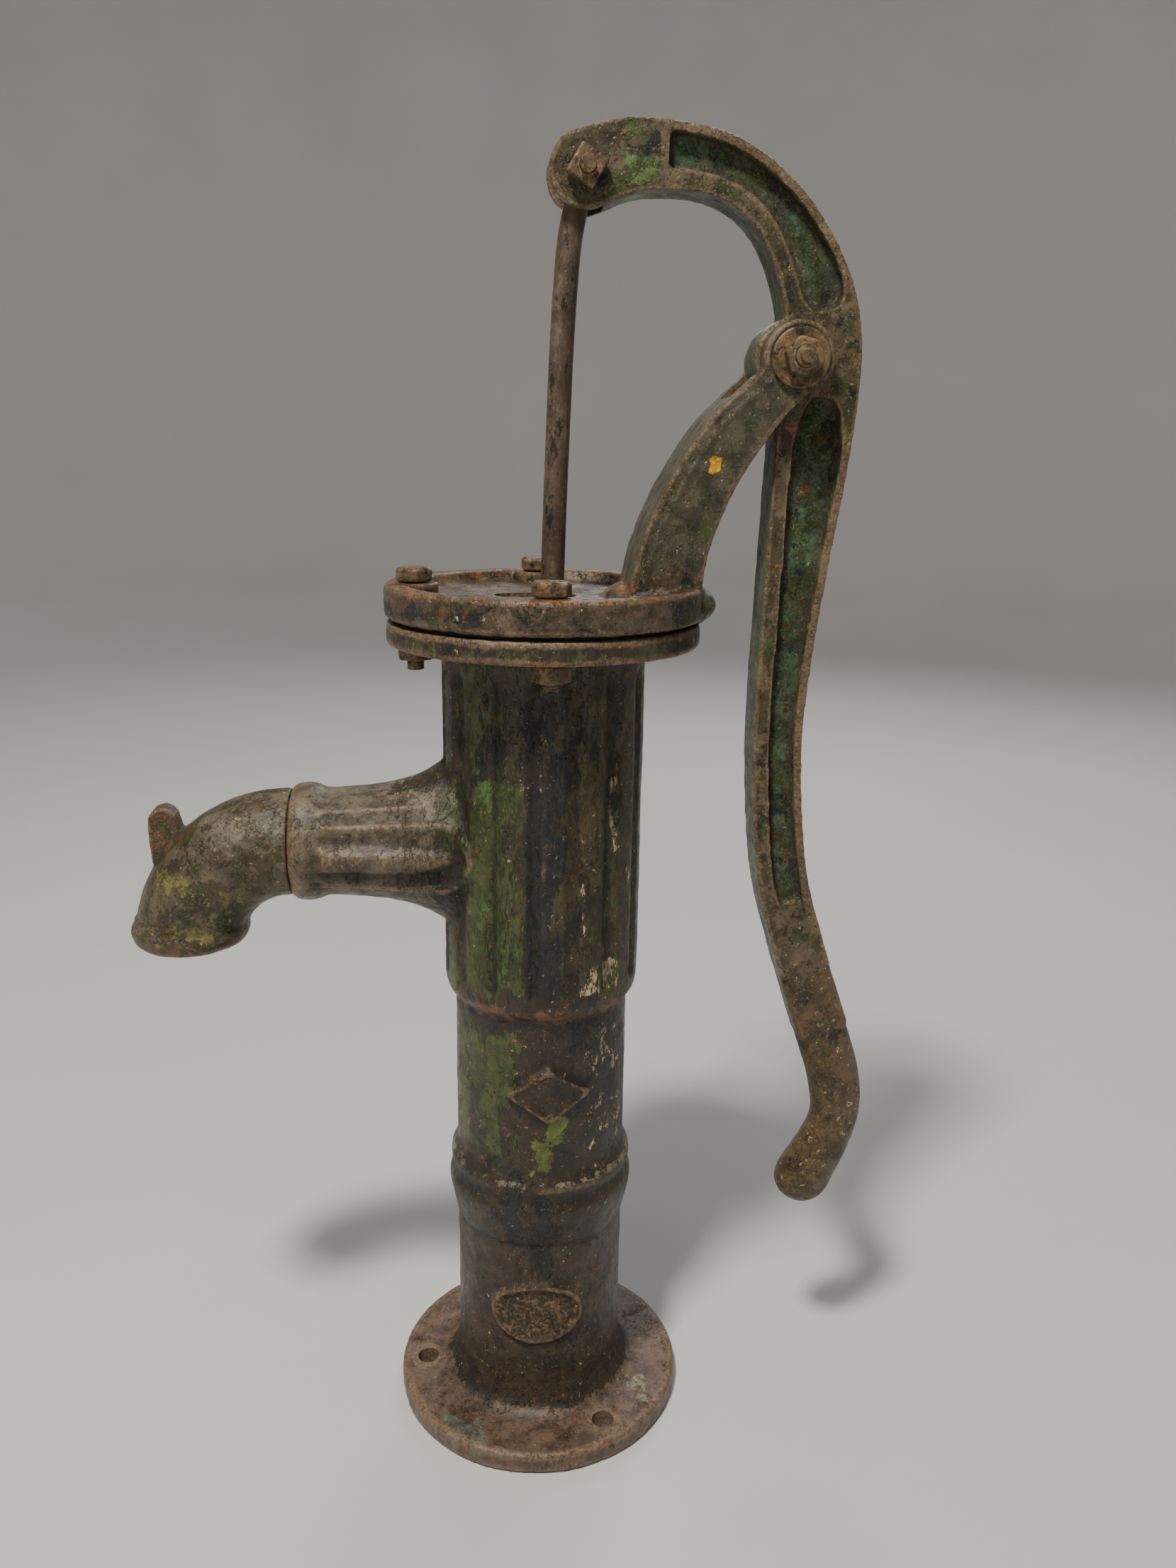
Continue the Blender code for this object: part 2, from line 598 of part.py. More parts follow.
def make_bucket(parts, cutters):
    low, high = BUCKET_Z
    crown_low, crown_high = CROWN_Z
    body = turned("bucket_body", (
        (BUCKET_R - 1, high), (BUCKET_R, high - 1), (BUCKET_R, low), (NECK_R, low), (NECK_R, FOLLOWER_Z[0]),
        (BUCKET_BORE_R, FOLLOWER_Z[0]), (BUCKET_BORE_R, high)), parts, "brass")
    for i, y in enumerate((-POST_Y, POST_Y)):
        post = prism(f"post_form_{i + 1}", POST_R, (0, y, high - 5.3), (0, y, crown_low + 5.2), cutters,
                     sides=12, turn=0.1)
        boolean(body, "UNION", post)
    crown = prism("crown_form", CROWN_R, (0, 0, crown_low), (0, 0, crown_high), cutters)
    length, width = CROWN_SLOT
    corner = (length / 2, width / 2, crown_high + 5)
    slot = block("crown_slot", (-length / 2, -width / 2, crown_low - 5), corner, cutters)
    boolean(body, "UNION", crown)
    boolean(body, "DIFFERENCE", slot)
    base, lip = LEATHER_Z
    turned("cup_leather", (
        (LEATHER_R, lip), (LEATHER_R, base + 2), (LEATHER_R - 2, base), (NECK_R + GAP, base),
        (NECK_R + GAP, low - GAP), (BUCKET_R + 0.4, low - GAP), (BUCKET_R + 0.4, lip)), parts, "leather")
    ring("bucket_follower", 37.5, NECK_R + GAP, FOLLOWER_Z[0], base - GAP, parts, "brass")
    valve = turned("bucket_valve", (
        (0.0, high + 8), (7, high + 8), (8, high + 5), (20, high + 4), (21, high + 1.5), (21, high + GAP),
        (0.0, high + GAP)), parts, "brass")
    for i, (x, y) in enumerate(((BUCKET_BORE_R - 0.6, 1.5), (1.5, BUCKET_BORE_R - 0.6))):
        wing = block(f"wing_form_{i + 1}", (-x, -y, high - 18), (x, y, high + 1), cutters)
        boolean(valve, "UNION", wing)


def make_foot_valve(parts, cutters):
    bottom = FLOOR_Z + GAP
    seat_top = bottom + SEAT_T
    flap_low = seat_top + GAP
    flap_top = flap_low + FLAP_T
    weight_low = flap_top + GAP
    weight_top = weight_low + WEIGHT_T
    ring("foot_valve_seat", SEAT_R, SEAT_BORE_R, bottom, seat_top, parts, "brass")
    flap = prism("foot_valve_flap", FLAP_R, (0, 0, flap_low), (0, 0, flap_top), parts, "leather")
    tongue = block("tongue_form", (-11, 10, flap_low), (11, FLAP_HINGE_Y, flap_top), cutters)
    hole = prism("flap_hole", 3.3, (0, 0, flap_low - 5), (0, 0, weight_top + 5), cutters, sides=12)
    boolean(flap, "UNION", tongue)
    boolean(flap, "DIFFERENCE", hole)
    weight = turned("foot_valve_weight", (
        (0.0, weight_top), (WEIGHT_R - 3, weight_top), (WEIGHT_R, weight_top - 3), (WEIGHT_R, weight_low),
        (0.0, weight_low)), parts, "rusty_steel")
    boolean(weight, "DIFFERENCE", hole)
    under = flap_low - 4
    screw = prism("foot_valve_screw", 3.0, (0, 0, under), (0, 0, weight_top + 2), parts, "brass", sides=12)
    head = prism("screw_head_form", 6.0, (0, 0, weight_top + GAP), (0, 0, weight_top + 4), cutters, sides=12)
    washer = prism("screw_washer_form", 13.0, (0, 0, under), (0, 0, flap_low - GAP), cutters)
    boolean(screw, "UNION", head, washer)
    y = FLAP_HINGE_Y + 1.8
    block("foot_valve_clamp", (-12, y, flap_low), (12, y + 5, flap_low + 8), parts, "brass")


def main():
    clear_scene()
    parts = collection("hand_well_pump")
    cutters = collection("cutters")
    bolt_holes = make_bolt_holes(cutters)
    make_barrel(parts, cutters, bolt_holes)
    make_spout(parts, cutters)
    make_cover(parts, cutters, bolt_holes)
    make_handle(parts, cutters)
    make_pivots(parts, cutters)
    make_rod(parts, cutters)
    make_bucket(parts, cutters)
    make_foot_valve(parts, cutters)
    for obj in cutters.objects:
        obj.hide_render = True
        obj.display_type = "WIRE"


if __name__ == "__main__":
    main()
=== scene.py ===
"""Hand well pump: the finished castings, fasteners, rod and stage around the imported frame.

Each operator makes one casting or one group of fasteners in the frame's own place. Lengths are in millimetres
until a helper turns them into metres with MM. Angles are in degrees until math.radians. +Z is up, the spout
points along -X and the handle hangs on the +X side.
"""
import json
import math

import bmesh
import bpy
import numpy as np
from mathutils import Matrix, Vector


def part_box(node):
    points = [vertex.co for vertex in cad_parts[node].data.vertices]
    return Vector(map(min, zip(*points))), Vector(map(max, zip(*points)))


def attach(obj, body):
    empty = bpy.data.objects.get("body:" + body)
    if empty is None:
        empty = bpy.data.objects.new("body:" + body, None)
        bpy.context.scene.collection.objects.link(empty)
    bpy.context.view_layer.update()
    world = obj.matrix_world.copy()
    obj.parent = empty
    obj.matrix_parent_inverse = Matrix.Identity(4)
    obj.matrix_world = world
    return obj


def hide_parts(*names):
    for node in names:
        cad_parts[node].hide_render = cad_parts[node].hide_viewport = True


bl_info = {
    "name": "Hand Well Pump",
    "version": (1, 0, 0),
    "blender": (4, 5, 0),
    "location": "View3D > Sidebar > Well Pump",
    "description": "Models a cast-iron lever pump with worn old paint",
    "category": "Add Mesh",
}

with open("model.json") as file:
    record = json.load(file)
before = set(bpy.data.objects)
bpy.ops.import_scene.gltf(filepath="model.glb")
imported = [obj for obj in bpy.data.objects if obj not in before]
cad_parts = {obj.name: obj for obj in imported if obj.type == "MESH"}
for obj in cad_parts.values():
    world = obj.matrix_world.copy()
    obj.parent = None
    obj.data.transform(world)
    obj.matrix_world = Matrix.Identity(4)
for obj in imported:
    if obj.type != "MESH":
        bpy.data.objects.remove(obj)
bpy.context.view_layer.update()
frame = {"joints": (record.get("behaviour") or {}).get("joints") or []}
JOINTS = {joint["name"]: joint for joint in frame["joints"]}

MM = 0.001
FULCRUM = Vector(JOINTS["handle_pivot"]["pos_m"]) / MM
ROD_PIVOT = Vector(JOINTS["rod_pivot"]["pos_m"]) / MM
COVER_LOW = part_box("cover_bracket")[0].z / MM
NOSE_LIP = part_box("spout_nose")[0].z / MM
BOLT_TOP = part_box("cover_bolt_left")[1].z / MM
ROD_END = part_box("piston_rod")[0].z / MM
SPOUT_Z = 356.5
HEAD_R = 55.2
HEAD_BORE_R = 46.0
COLUMN_R = 49.5
CYLINDER_R = 41.25
SUCTION_R = 22.0
BOLT_HOLE_R = 5.5


# Small helpers ---------------------------------------------------------------------------------------------

def only(*objects):
    """Selects these objects and nothing else."""
    bpy.ops.object.select_all(action="DESELECT")
    for obj in objects:
        obj.select_set(True)
    bpy.context.view_layer.objects.active = objects[-1]


def settle(obj):
    """Puts an object's place, turn and scale into its mesh."""
    only(obj)
    bpy.ops.object.transform_apply(location=True, rotation=True, scale=True)
    return obj


def applied(obj, kind, **settings):
    """Adds one modifier and applies it."""
    only(obj)
    modifier = obj.modifiers.new(kind.title(), kind)
    for name, value in settings.items():
        setattr(modifier, name, value)
    bpy.ops.object.modifier_apply(modifier=modifier.name)
    return obj


def pick(obj, test):
    """In edit mode, selects the vertices whose place passes the test."""
    shape = bmesh.from_edit_mesh(obj.data)
    for vertex in shape.verts:
        vertex.select_set(bool(test(vertex.co)))
    shape.select_flush(True)
    bmesh.update_edit_mesh(obj.data)


def turned(name, rings, steps=48):
    """Rings of (radius, height) or (x radius, y radius, height), bottom to top, closed at both ends."""
    rings = [(ring[0], ring[-2], ring[-1]) for ring in rings]
    rx, ry, z = rings[0]
    only_nothing()
    bpy.ops.mesh.primitive_circle_add(vertices=steps, radius=1.0, fill_type="NGON")
    obj = bpy.context.object
    obj.name = name
    obj.scale = (rx * MM, ry * MM, 1.0)
    obj.location = (0.0, 0.0, z * MM)
    settle(obj)
    bpy.ops.object.mode_set(mode="EDIT")
    bpy.ops.mesh.select_mode(type="VERT")
    bpy.ops.mesh.select_all(action="SELECT")
    for (ax, ay, az), (bx, by, bz) in zip(rings, rings[1:]):
        bpy.ops.mesh.extrude_region_move(TRANSFORM_OT_translate={"value": (0.0, 0.0, (bz - az) * MM)})
        if (ax, ay) != (bx, by):
            bpy.ops.transform.resize(value=(bx / ax, by / ay, 1.0), center_override=(0.0, 0.0, bz * MM))
    bpy.ops.mesh.select_all(action="SELECT")
    bpy.ops.mesh.normals_make_consistent(inside=False)
    bpy.ops.object.mode_set(mode="OBJECT")
    return obj


def only_nothing():
    """Leaves edit mode and deselects everything."""
    if bpy.context.object and bpy.context.object.mode != "OBJECT":
        bpy.ops.object.mode_set(mode="OBJECT")
    bpy.ops.object.select_all(action="DESELECT")


def cylinder(name, radius, start, end, sides=48, turn=0.0):
    """A round or polygonal bar between two points."""
    start = Vector(start) * MM
    end = Vector(end) * MM
    only_nothing()
    bpy.ops.mesh.primitive_cylinder_add(vertices=sides, radius=radius * MM, depth=(end - start).length)
    obj = bpy.context.object
    obj.name = name
    toward = (end - start).to_track_quat("Z", "Y").to_matrix().to_4x4()
    obj.matrix_world = Matrix.Translation((start + end) / 2) @ toward @ Matrix.Rotation(turn, 4, "Z")
    return settle(obj)


def ball(name, centre, radii):
    """An ellipsoid with its three radii."""
    only_nothing()
    bpy.ops.mesh.primitive_uv_sphere_add(segments=32, ring_count=16, radius=1.0)
    obj = bpy.context.object
    obj.name = name
    obj.scale = [r * MM for r in radii]
    obj.location = Vector(centre) * MM
    return settle(obj)


def block(name, low, high):
    """A box between two corners."""
    only_nothing()
    bpy.ops.mesh.primitive_cube_add(size=1.0)
    obj = bpy.context.object
    obj.name = name
    obj.scale = [(b - a) * MM for a, b in zip(low, high)]
    obj.location = [(a + b) / 2 * MM for a, b in zip(low, high)]
    return settle(obj)


def from_curve(name, curve):
    """A mesh object from curve data, with its caps joined to its sides."""
    obj = bpy.data.objects.new(name, curve)
    bpy.context.scene.collection.objects.link(obj)
    only(obj)
    bpy.ops.object.convert(target="MESH")
    obj = bpy.context.object
    bpy.ops.object.mode_set(mode="EDIT")
    bpy.ops.mesh.select_all(action="SELECT")
    bpy.ops.mesh.remove_doubles(threshold=0.00001)
    bpy.ops.mesh.normals_make_consistent(inside=False)
    bpy.ops.object.mode_set(mode="OBJECT")
    return obj


def bar(name, points, radius, radii=None, resolution=6, cyclic=False):
    """A round bar along points. radii gives each point's share of the radius."""
    curve = bpy.data.curves.new(name, "CURVE")
    curve.dimensions = "3D"
    curve.bevel_depth = radius * MM
    curve.bevel_resolution = resolution
    curve.use_fill_caps = True
    spline = curve.splines.new("POLY")
    spline.points.add(len(points) - 1)
    for i, point in enumerate(points):
        spline.points[i].co = (*(Vector(point) * MM), 1.0)
        spline.points[i].radius = radii[i] if radii else 1.0
    spline.use_cyclic_u = cyclic
    return from_curve(name, curve)


def plate(name, outline, low, high, rounding=0.0):
    """A filled outline of (x, z) points from y = low to y = high, its edges rounded."""
    curve = bpy.data.curves.new(name, "CURVE")
    curve.dimensions = "2D"
    curve.fill_mode = "BOTH"
    curve.extrude = (high - low) / 2 * MM
    spline = curve.splines.new("POLY")
    spline.points.add(len(outline) - 1)
    for i, (x, z) in enumerate(outline):
        spline.points[i].co = (x * MM, z * MM, 0.0, 1.0)
    spline.use_cyclic_u = True
    obj = from_curve(name, curve)
    obj.rotation_euler = (math.pi / 2, 0.0, 0.0)
    obj.location = (0.0, (low + high) / 2 * MM, 0.0)
    settle(obj)
    if rounding:
        applied(obj, "BEVEL", width=rounding * MM, segments=3, limit_method="ANGLE",
                angle_limit=math.radians(40))
    return obj


def joined(name, forms):
    """One object from several."""
    only(*forms)
    if len(forms) > 1:
        bpy.ops.object.join()
    obj = bpy.context.object
    obj.name = name
    obj.data.name = name
    return obj


def fused(name, forms, voxel, smoothing, most=None):
    """One cast skin over overlapping forms, with soft fillets where they meet."""
    obj = joined(name, forms)
    applied(obj, "REMESH", mode="VOXEL", voxel_size=voxel * MM, use_smooth_shade=True)
    if smoothing:
        applied(obj, "SMOOTH", factor=0.5, iterations=smoothing)
    triangles = 2 * len(obj.data.polygons)
    if most and triangles > most:
        applied(obj, "DECIMATE", ratio=most / triangles)
    return obj


def cut(obj, *cutters):
    """Takes each cutter's form out of an object and removes the cutter."""
    for cutter in cutters:
        applied(obj, "BOOLEAN", operation="DIFFERENCE", object=cutter, solver="MANIFOLD")
        bpy.data.objects.remove(cutter, do_unlink=True)
    return obj


def roughened(obj, *layers):
    """Lumps of cast or rusted metal: layers of (size, height) in millimetres."""
    for i, (size, height) in enumerate(layers):
        texture = bpy.data.textures.new(f"{obj.name}_lumps_{i + 1}", "CLOUDS")
        texture.noise_scale = size * MM
        texture.noise_depth = 3
        applied(obj, "DISPLACE", texture=texture, texture_coords="LOCAL", strength=height * MM, mid_level=0.5)
    return obj


def mark_relief(obj, rounds=14):
    """Writes how far each vertex stands out from its smoothed surroundings, in millimetres, as "relief"."""
    mesh = obj.data
    count = len(mesh.vertices)
    place = np.empty(count * 3)
    mesh.vertices.foreach_get("co", place)
    place = place.reshape(-1, 3)
    normal = np.empty(count * 3)
    mesh.vertices.foreach_get("normal", normal)
    normal = normal.reshape(-1, 3)
    edges = np.empty(len(mesh.edges) * 2, int)
    mesh.edges.foreach_get("vertices", edges)
    a, b = edges.reshape(-1, 2).T
    degree = np.bincount(a, minlength=count) + np.bincount(b, minlength=count)
    degree = np.maximum(degree, 1)
    soft = place.copy()
    for _ in range(rounds):
        near = [np.bincount(a, soft[b, k], count) + np.bincount(b, soft[a, k], count) for k in range(3)]
        soft = np.stack(near, 1) / degree[:, None]
    proud = ((place - soft) * normal).sum(1) / MM
    for _ in range(2):
        proud = (np.bincount(a, proud[b], count) + np.bincount(b, proud[a], count)) / degree
    attribute = mesh.attributes.new("relief", "FLOAT", "POINT")
    attribute.data.foreach_set("value", proud.astype(np.float32))


def dress(obj, material, body, slot, *nodes):
    """Gives a finished piece its material and its body, and hides the frame's nodes that it stands for; slot
    is not used.
    """
    obj.data.materials.clear()
    obj.data.materials.append(material)
    only(obj)
    bpy.ops.object.shade_smooth_by_angle(angle=math.radians(38))
    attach(obj, body)
    if nodes:
        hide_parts(*nodes)
    return obj


def arc(centre, radius, start, end, count):
    """Points on an arc in the XZ plane, its angles in degrees."""
    steps = [math.radians(start + (end - start) * i / count) for i in range(count + 1)]
    return [(centre[0] + radius * math.cos(a), centre[1] + radius * math.sin(a)) for a in steps]


def smooth_line(points, per_span):
    """A Catmull-Rom curve through tuples of any length."""
    padded = [points[0], *points, points[-1]]
    made = []
    for a, b, c, d in zip(padded, padded[1:], padded[2:], padded[3:]):
        for i in range(per_span):
            t = i / per_span
            made.append(tuple(
                0.5 * (2 * q + (r - p) * t + (2 * p - 5 * q + 4 * r - s) * t * t
                       + (3 * q - p - 3 * r + s) * t ** 3)
                for p, q, r, s in zip(a, b, c, d)))
    made.append(tuple(points[-1]))
    return made


def edges_of(line, inset):
    """The outer and inner edges of a band given by (x, z, half width), moved in by inset."""
    outer, inner = [], []
    for i, (x, z, half) in enumerate(line):
        before = line[max(i - 1, 0)]
        after = line[min(i + 1, len(line) - 1)]
        along = Vector((after[0] - before[0], after[1] - before[1])).normalized()
        width = half - inset
        outer.append((x - along.y * width, z + along.x * width))
        inner.append((x + along.y * width, z - along.x * width))
    return outer, inner


# Materials -------------------------------------------------------------------------------------------------

def tint(red, green, blue):
    """A linear colour from the usual 0 to 255 values."""
    shares = [value / 255 for value in (red, green, blue)]
    return tuple(s / 12.92 if s <= 0.04045 else ((s + 0.055) / 1.055) ** 2.4 for s in shares)


def rgba(colour, share=1.0):
    return (*[share * c for c in colour[:3]], 1.0)


def new_group(name, inputs, outputs):
    """An empty shader node group with named sockets, and its input and output nodes."""
    tree = bpy.data.node_groups.new(name, "ShaderNodeTree")
    for label, kind, default in inputs:
        tree.interface.new_socket(label, in_out="INPUT", socket_type=kind).default_value = default
    for label in outputs:
        tree.interface.new_socket(label, in_out="OUTPUT", socket_type="NodeSocketFloat")
    return tree, tree.nodes.new("NodeGroupInput").outputs, tree.nodes.new("NodeGroupOutput").inputs


def set_or_link(tree, socket, value):
    if isinstance(value, bpy.types.NodeSocket):
        tree.links.new(value, socket)
    else:
        socket.default_value = value


def node(tree, kind, settings=None, **inputs):
    """A node with its settings, and its inputs as values or sockets; _0 names the first input."""
    made = tree.nodes.new(kind)
    for name, value in (settings or {}).items():
        setattr(made, name, value)
    for name, value in inputs.items():
        socket = made.inputs[int(name[1:])] if name[0] == "_" else made.inputs[name.replace("_", " ")]
        set_or_link(tree, socket, value)
    return made


def maths(tree, operation, a, b=0.0, clamp=False):
    return node(tree, "ShaderNodeMath", {"operation": operation, "use_clamp": clamp}, _0=a, _1=b).outputs[0]


def vectors(tree, operation, a, b):
    return node(tree, "ShaderNodeVectorMath", {"operation": operation}, _0=a, _1=b).outputs[0]


def between(tree, value, low, high):
    """0 at low, 1 at high, and a smooth step between them."""
    return node(tree, "ShaderNodeMapRange", {"interpolation_type": "SMOOTHSTEP"}, Value=value, From_Min=low,
                From_Max=high).outputs[0]


def scaled(tree, value, from_low, from_high, to_low, to_high):
    return node(tree, "ShaderNodeMapRange", Value=value, From_Min=from_low, From_Max=from_high, To_Min=to_low,
                To_Max=to_high).outputs[0]


def blend(tree, factor, a, b):
    made = node(tree, "ShaderNodeMix", {"data_type": "RGBA"}, _0=factor)
    set_or_link(tree, made.inputs[6], a)
    set_or_link(tree, made.inputs[7], b)
    return made.outputs[2]


def place_of(tree, offset=(0.0, 0.0, 0.0), stretch=(1.0, 1.0, 1.0)):
    """Object coordinates, moved and stretched."""
    coordinates = node(tree, "ShaderNodeTexCoord").outputs["Object"]
    return node(tree, "ShaderNodeMapping", Vector=coordinates, Location=offset, Scale=stretch).outputs[0]


def noise(tree, where, scale, detail=6.0, roughness=0.6, distortion=0.0):
    return node(tree, "ShaderNodeTexNoise", Vector=where, Scale=scale, Detail=detail, Roughness=roughness,
                Distortion=distortion)


def make_patches():
    """Ragged patches that grow with Amount, inside the box from Low to High."""
    tree, source, out = new_group("Ragged Patches", (
        ("Scale", "NodeSocketFloat", 40.0), ("Amount", "NodeSocketFloat", 0.3),
        ("Offset", "NodeSocketVector", (0, 0, 0)), ("Stretch", "NodeSocketVector", (1, 1, 1)),
        ("Low", "NodeSocketVector", (-1, -1, -1)), ("High", "NodeSocketVector", (1, 1, 1)),
        ("Soft", "NodeSocketFloat", 0.012), ("Fleck", "NodeSocketFloat", 0.45)), ("Mask",))
    coordinates = node(tree, "ShaderNodeTexCoord").outputs["Object"]
    where = node(tree, "ShaderNodeMapping", Vector=coordinates, Location=source["Offset"],
                 Scale=source["Stretch"]).outputs[0]
    big = noise(tree, where, source["Scale"], 9.0, 0.66, 0.25).outputs[0]
    fine = noise(tree, where, maths(tree, "MULTIPLY", source["Scale"], 7.0), 6.0, 0.72).outputs[0]
    flecks = maths(tree, "MULTIPLY", maths(tree, "SUBTRACT", fine, 0.5), source["Fleck"])
    big = maths(tree, "ADD", big, flecks)
    soft = node(tree, "ShaderNodeCombineXYZ", X=source["Soft"], Y=source["Soft"], Z=source["Soft"]).outputs[0]
    near_low = vectors(tree, "DIVIDE", vectors(tree, "SUBTRACT", coordinates, source["Low"]), soft)
    near_high = vectors(tree, "DIVIDE", vectors(tree, "SUBTRACT", source["High"], coordinates), soft)
    inside = vectors(tree, "MINIMUM", near_low, near_high)
    axes = node(tree, "ShaderNodeSeparateXYZ", Vector=inside).outputs
    depth = maths(tree, "MINIMUM", maths(tree, "MINIMUM", axes[0], axes[1]), axes[2])
    fade = scaled(tree, depth, -0.5, 0.5, 0.0, 1.0)
    amount = maths(tree, "MULTIPLY", source["Amount"], fade)
    level = scaled(tree, amount, 0.0, 1.0, 0.74, 0.28)
    tree.links.new(between(tree, big, level, maths(tree, "ADD", level, 0.03)), out["Mask"])
    return tree


def make_relief():
    """Worn edges, and hollows for painted shade, from the piece's own relief and some noise."""
    tree, source, out = new_group("Relief Wear and Shade", (
        ("Edge", "NodeSocketFloat", 0.25), ("Hollow", "NodeSocketFloat", 0.15),
        ("Ragged", "NodeSocketFloat", 0.6), ("Broken", "NodeSocketFloat", 0.9)), ("Edges", "Hollows"))
    relief = node(tree, "ShaderNodeAttribute", {"attribute_name": "relief"}).outputs["Fac"]
    rough = noise(tree, place_of(tree), 150.0, 7.0, 0.72).outputs[0]
    shift = maths(tree, "MULTIPLY", maths(tree, "SUBTRACT", rough, 0.5), source["Ragged"])
    stretch = noise(tree, place_of(tree, (0.4, 0.9, 0.2)), 34.0, 4.0, 0.6).outputs[0]
    high = maths(tree, "ADD", maths(tree, "ADD", relief, shift),
                 maths(tree, "MULTIPLY", maths(tree, "SUBTRACT", stretch, 0.55), source["Broken"]))
    edges = between(tree, high, source["Edge"], maths(tree, "ADD", source["Edge"], 0.25))
    tree.links.new(edges, out["Edges"])
    # Hollows mask: where the surface sinks below its surroundings, for painted shade.
    low = maths(tree, "SUBTRACT", shift, relief)
    shaded_hollows = between(tree, low, source["Hollow"], maths(tree, "ADD", source["Hollow"], 0.5))
    tree.links.new(shaded_hollows, out["Hollows"])
    return tree


def make_grain():
    """The skin of sand-cast iron as a height: fine grain, low lumps and pits."""
    tree, source, out = new_group("Cast Grain", (
        ("Grain", "NodeSocketFloat", 1.0), ("Pits", "NodeSocketFloat", 0.6)), ("Height",))
    where = place_of(tree)
    fine = noise(tree, where, 1100.0, 4.0, 0.7).outputs[0]
    lumps = noise(tree, where, 260.0, 5.0, 0.6).outputs[0]
    cells = node(tree, "ShaderNodeTexVoronoi", {"feature": "F1"}, Vector=where, Scale=230.0)
    pits = maths(tree, "MULTIPLY", between(tree, cells.outputs["Distance"], 0.25, 0.05), source["Pits"])
    grain = maths(tree, "MULTIPLY", maths(tree, "ADD", maths(tree, "MULTIPLY", fine, 0.45), lumps),
                  source["Grain"])
    tree.links.new(maths(tree, "SUBTRACT", grain, pits), out["Height"])
    return tree


GROUP_MAKERS = {"patches": make_patches, "relief": make_relief, "grain": make_grain}
GROUPS = {}


def shared(tree, name, **inputs):
    """Places a shared node group in a material's tree."""
    if name not in GROUPS:
        GROUPS[name] = GROUP_MAKERS[name]()
    made = tree.nodes.new("ShaderNodeGroup")
    made.node_tree = GROUPS[name]
    for label, value in inputs.items():
        set_or_link(tree, made.inputs[label], value)
    return made.outputs


def new_material(name):
    made = bpy.data.materials.new(name)
    made.use_nodes = True
    return made, made.node_tree, made.node_tree.nodes["Principled BSDF"]


def coat(colour, scale, amount, offset, low=None, high=None, stretch=None, soft=12.0, thick=0.35):
    """One layer of paint, rust or chips: its colour, patch scale, amount, and the box in mm that holds it."""
    return {
        "colour": colour, "scale": scale, "amount": amount, "offset": offset, "thick": thick,
        "low": low or (-900, -900, -900), "high": high or (900, 900, 900), "stretch": stretch or (1, 1, 1),
        "soft": soft}


def old_paint(name, ground, second, coats, edge=0.45, edge_colour=None, hollow=0.2, rough=(0.24, 0.56),
              bump=0.9, edge_share=0.6):
    """Cast iron under layers of old paint, worn at its edges and darkened in its hollows by painted shade."""
    made, tree, shader = new_material(name)
    edge_colour = edge_colour or tint(142, 116, 90)
    height = maths(tree, "MULTIPLY", shared(tree, "grain")["Height"], 0.6)
    mottle = noise(tree, place_of(tree), 75.0, 9.0, 0.72).outputs[0]
    colour = blend(tree, between(tree, mottle, 0.38, 0.62), rgba(ground), rgba(second))
    shading = between(tree, mottle, 0.42, 0.60)
    for layer in coats:
        offset = layer["offset"]
        mask = shared(
            tree, "patches", Scale=layer["scale"], Amount=layer["amount"], Stretch=layer["stretch"],
            Offset=(offset, 0.37 * offset, 0.11 * offset), Low=[v * MM for v in layer["low"]],
            High=[v * MM for v in layer["high"]], Soft=layer["soft"] * MM)["Mask"]
        shade = blend(tree, shading, rgba(layer["colour"]), rgba(layer["colour"], 0.48))
        colour = blend(tree, mask, colour, shade)
        if layer["thick"]:
            height = maths(tree, "ADD", height, maths(tree, "MULTIPLY", mask, layer["thick"]))
    fleck = noise(tree, place_of(tree, (0.7, 0.2, 0.9)), 480.0, 6.0, 0.75).outputs[0]
    colour = blend(tree, maths(tree, "MULTIPLY", between(tree, fleck, 0.60, 0.66), 0.5), colour,
                   rgba(edge_colour, 0.9))
    colour = blend(tree, maths(tree, "MULTIPLY", between(tree, fleck, 0.42, 0.34), 0.65), colour,
                   rgba(ground, 0.35))
    wear_and_shade = shared(tree, "relief", Edge=edge, Hollow=hollow)
    worn = blend(tree, between(tree, fleck, 0.42, 0.58), rgba(edge_colour, 0.45), rgba(edge_colour))
    colour = blend(tree, maths(tree, "MULTIPLY", wear_and_shade["Edges"], edge_share), colour, worn)
    # Painted shade: the hollows are darkened towards 30% of the ground colour.
    colour = blend(tree, maths(tree, "MULTIPLY", wear_and_shade["Hollows"], 0.7), colour, rgba(ground, 0.3))
    shine = noise(tree, place_of(tree, (1.9, 0.3, 0.1)), 120.0, 7.0, 0.7).outputs[0]
    roughness = scaled(tree, shine, 0.32, 0.68, rough[0], rough[1])
    roughness = maths(tree, "ADD", roughness, maths(tree, "MULTIPLY", wear_and_shade["Hollows"], 0.15), clamp=True)
    relief = node(tree, "ShaderNodeBump", Strength=1.0, Distance=bump * MM, Height=height)
    tree.links.new(colour, shader.inputs["Base Color"])
    tree.links.new(roughness, shader.inputs["Roughness"])
    tree.links.new(relief.outputs[0], shader.inputs["Normal"])
    shader.inputs["Specular IOR Level"].default_value = 0.5
    return made


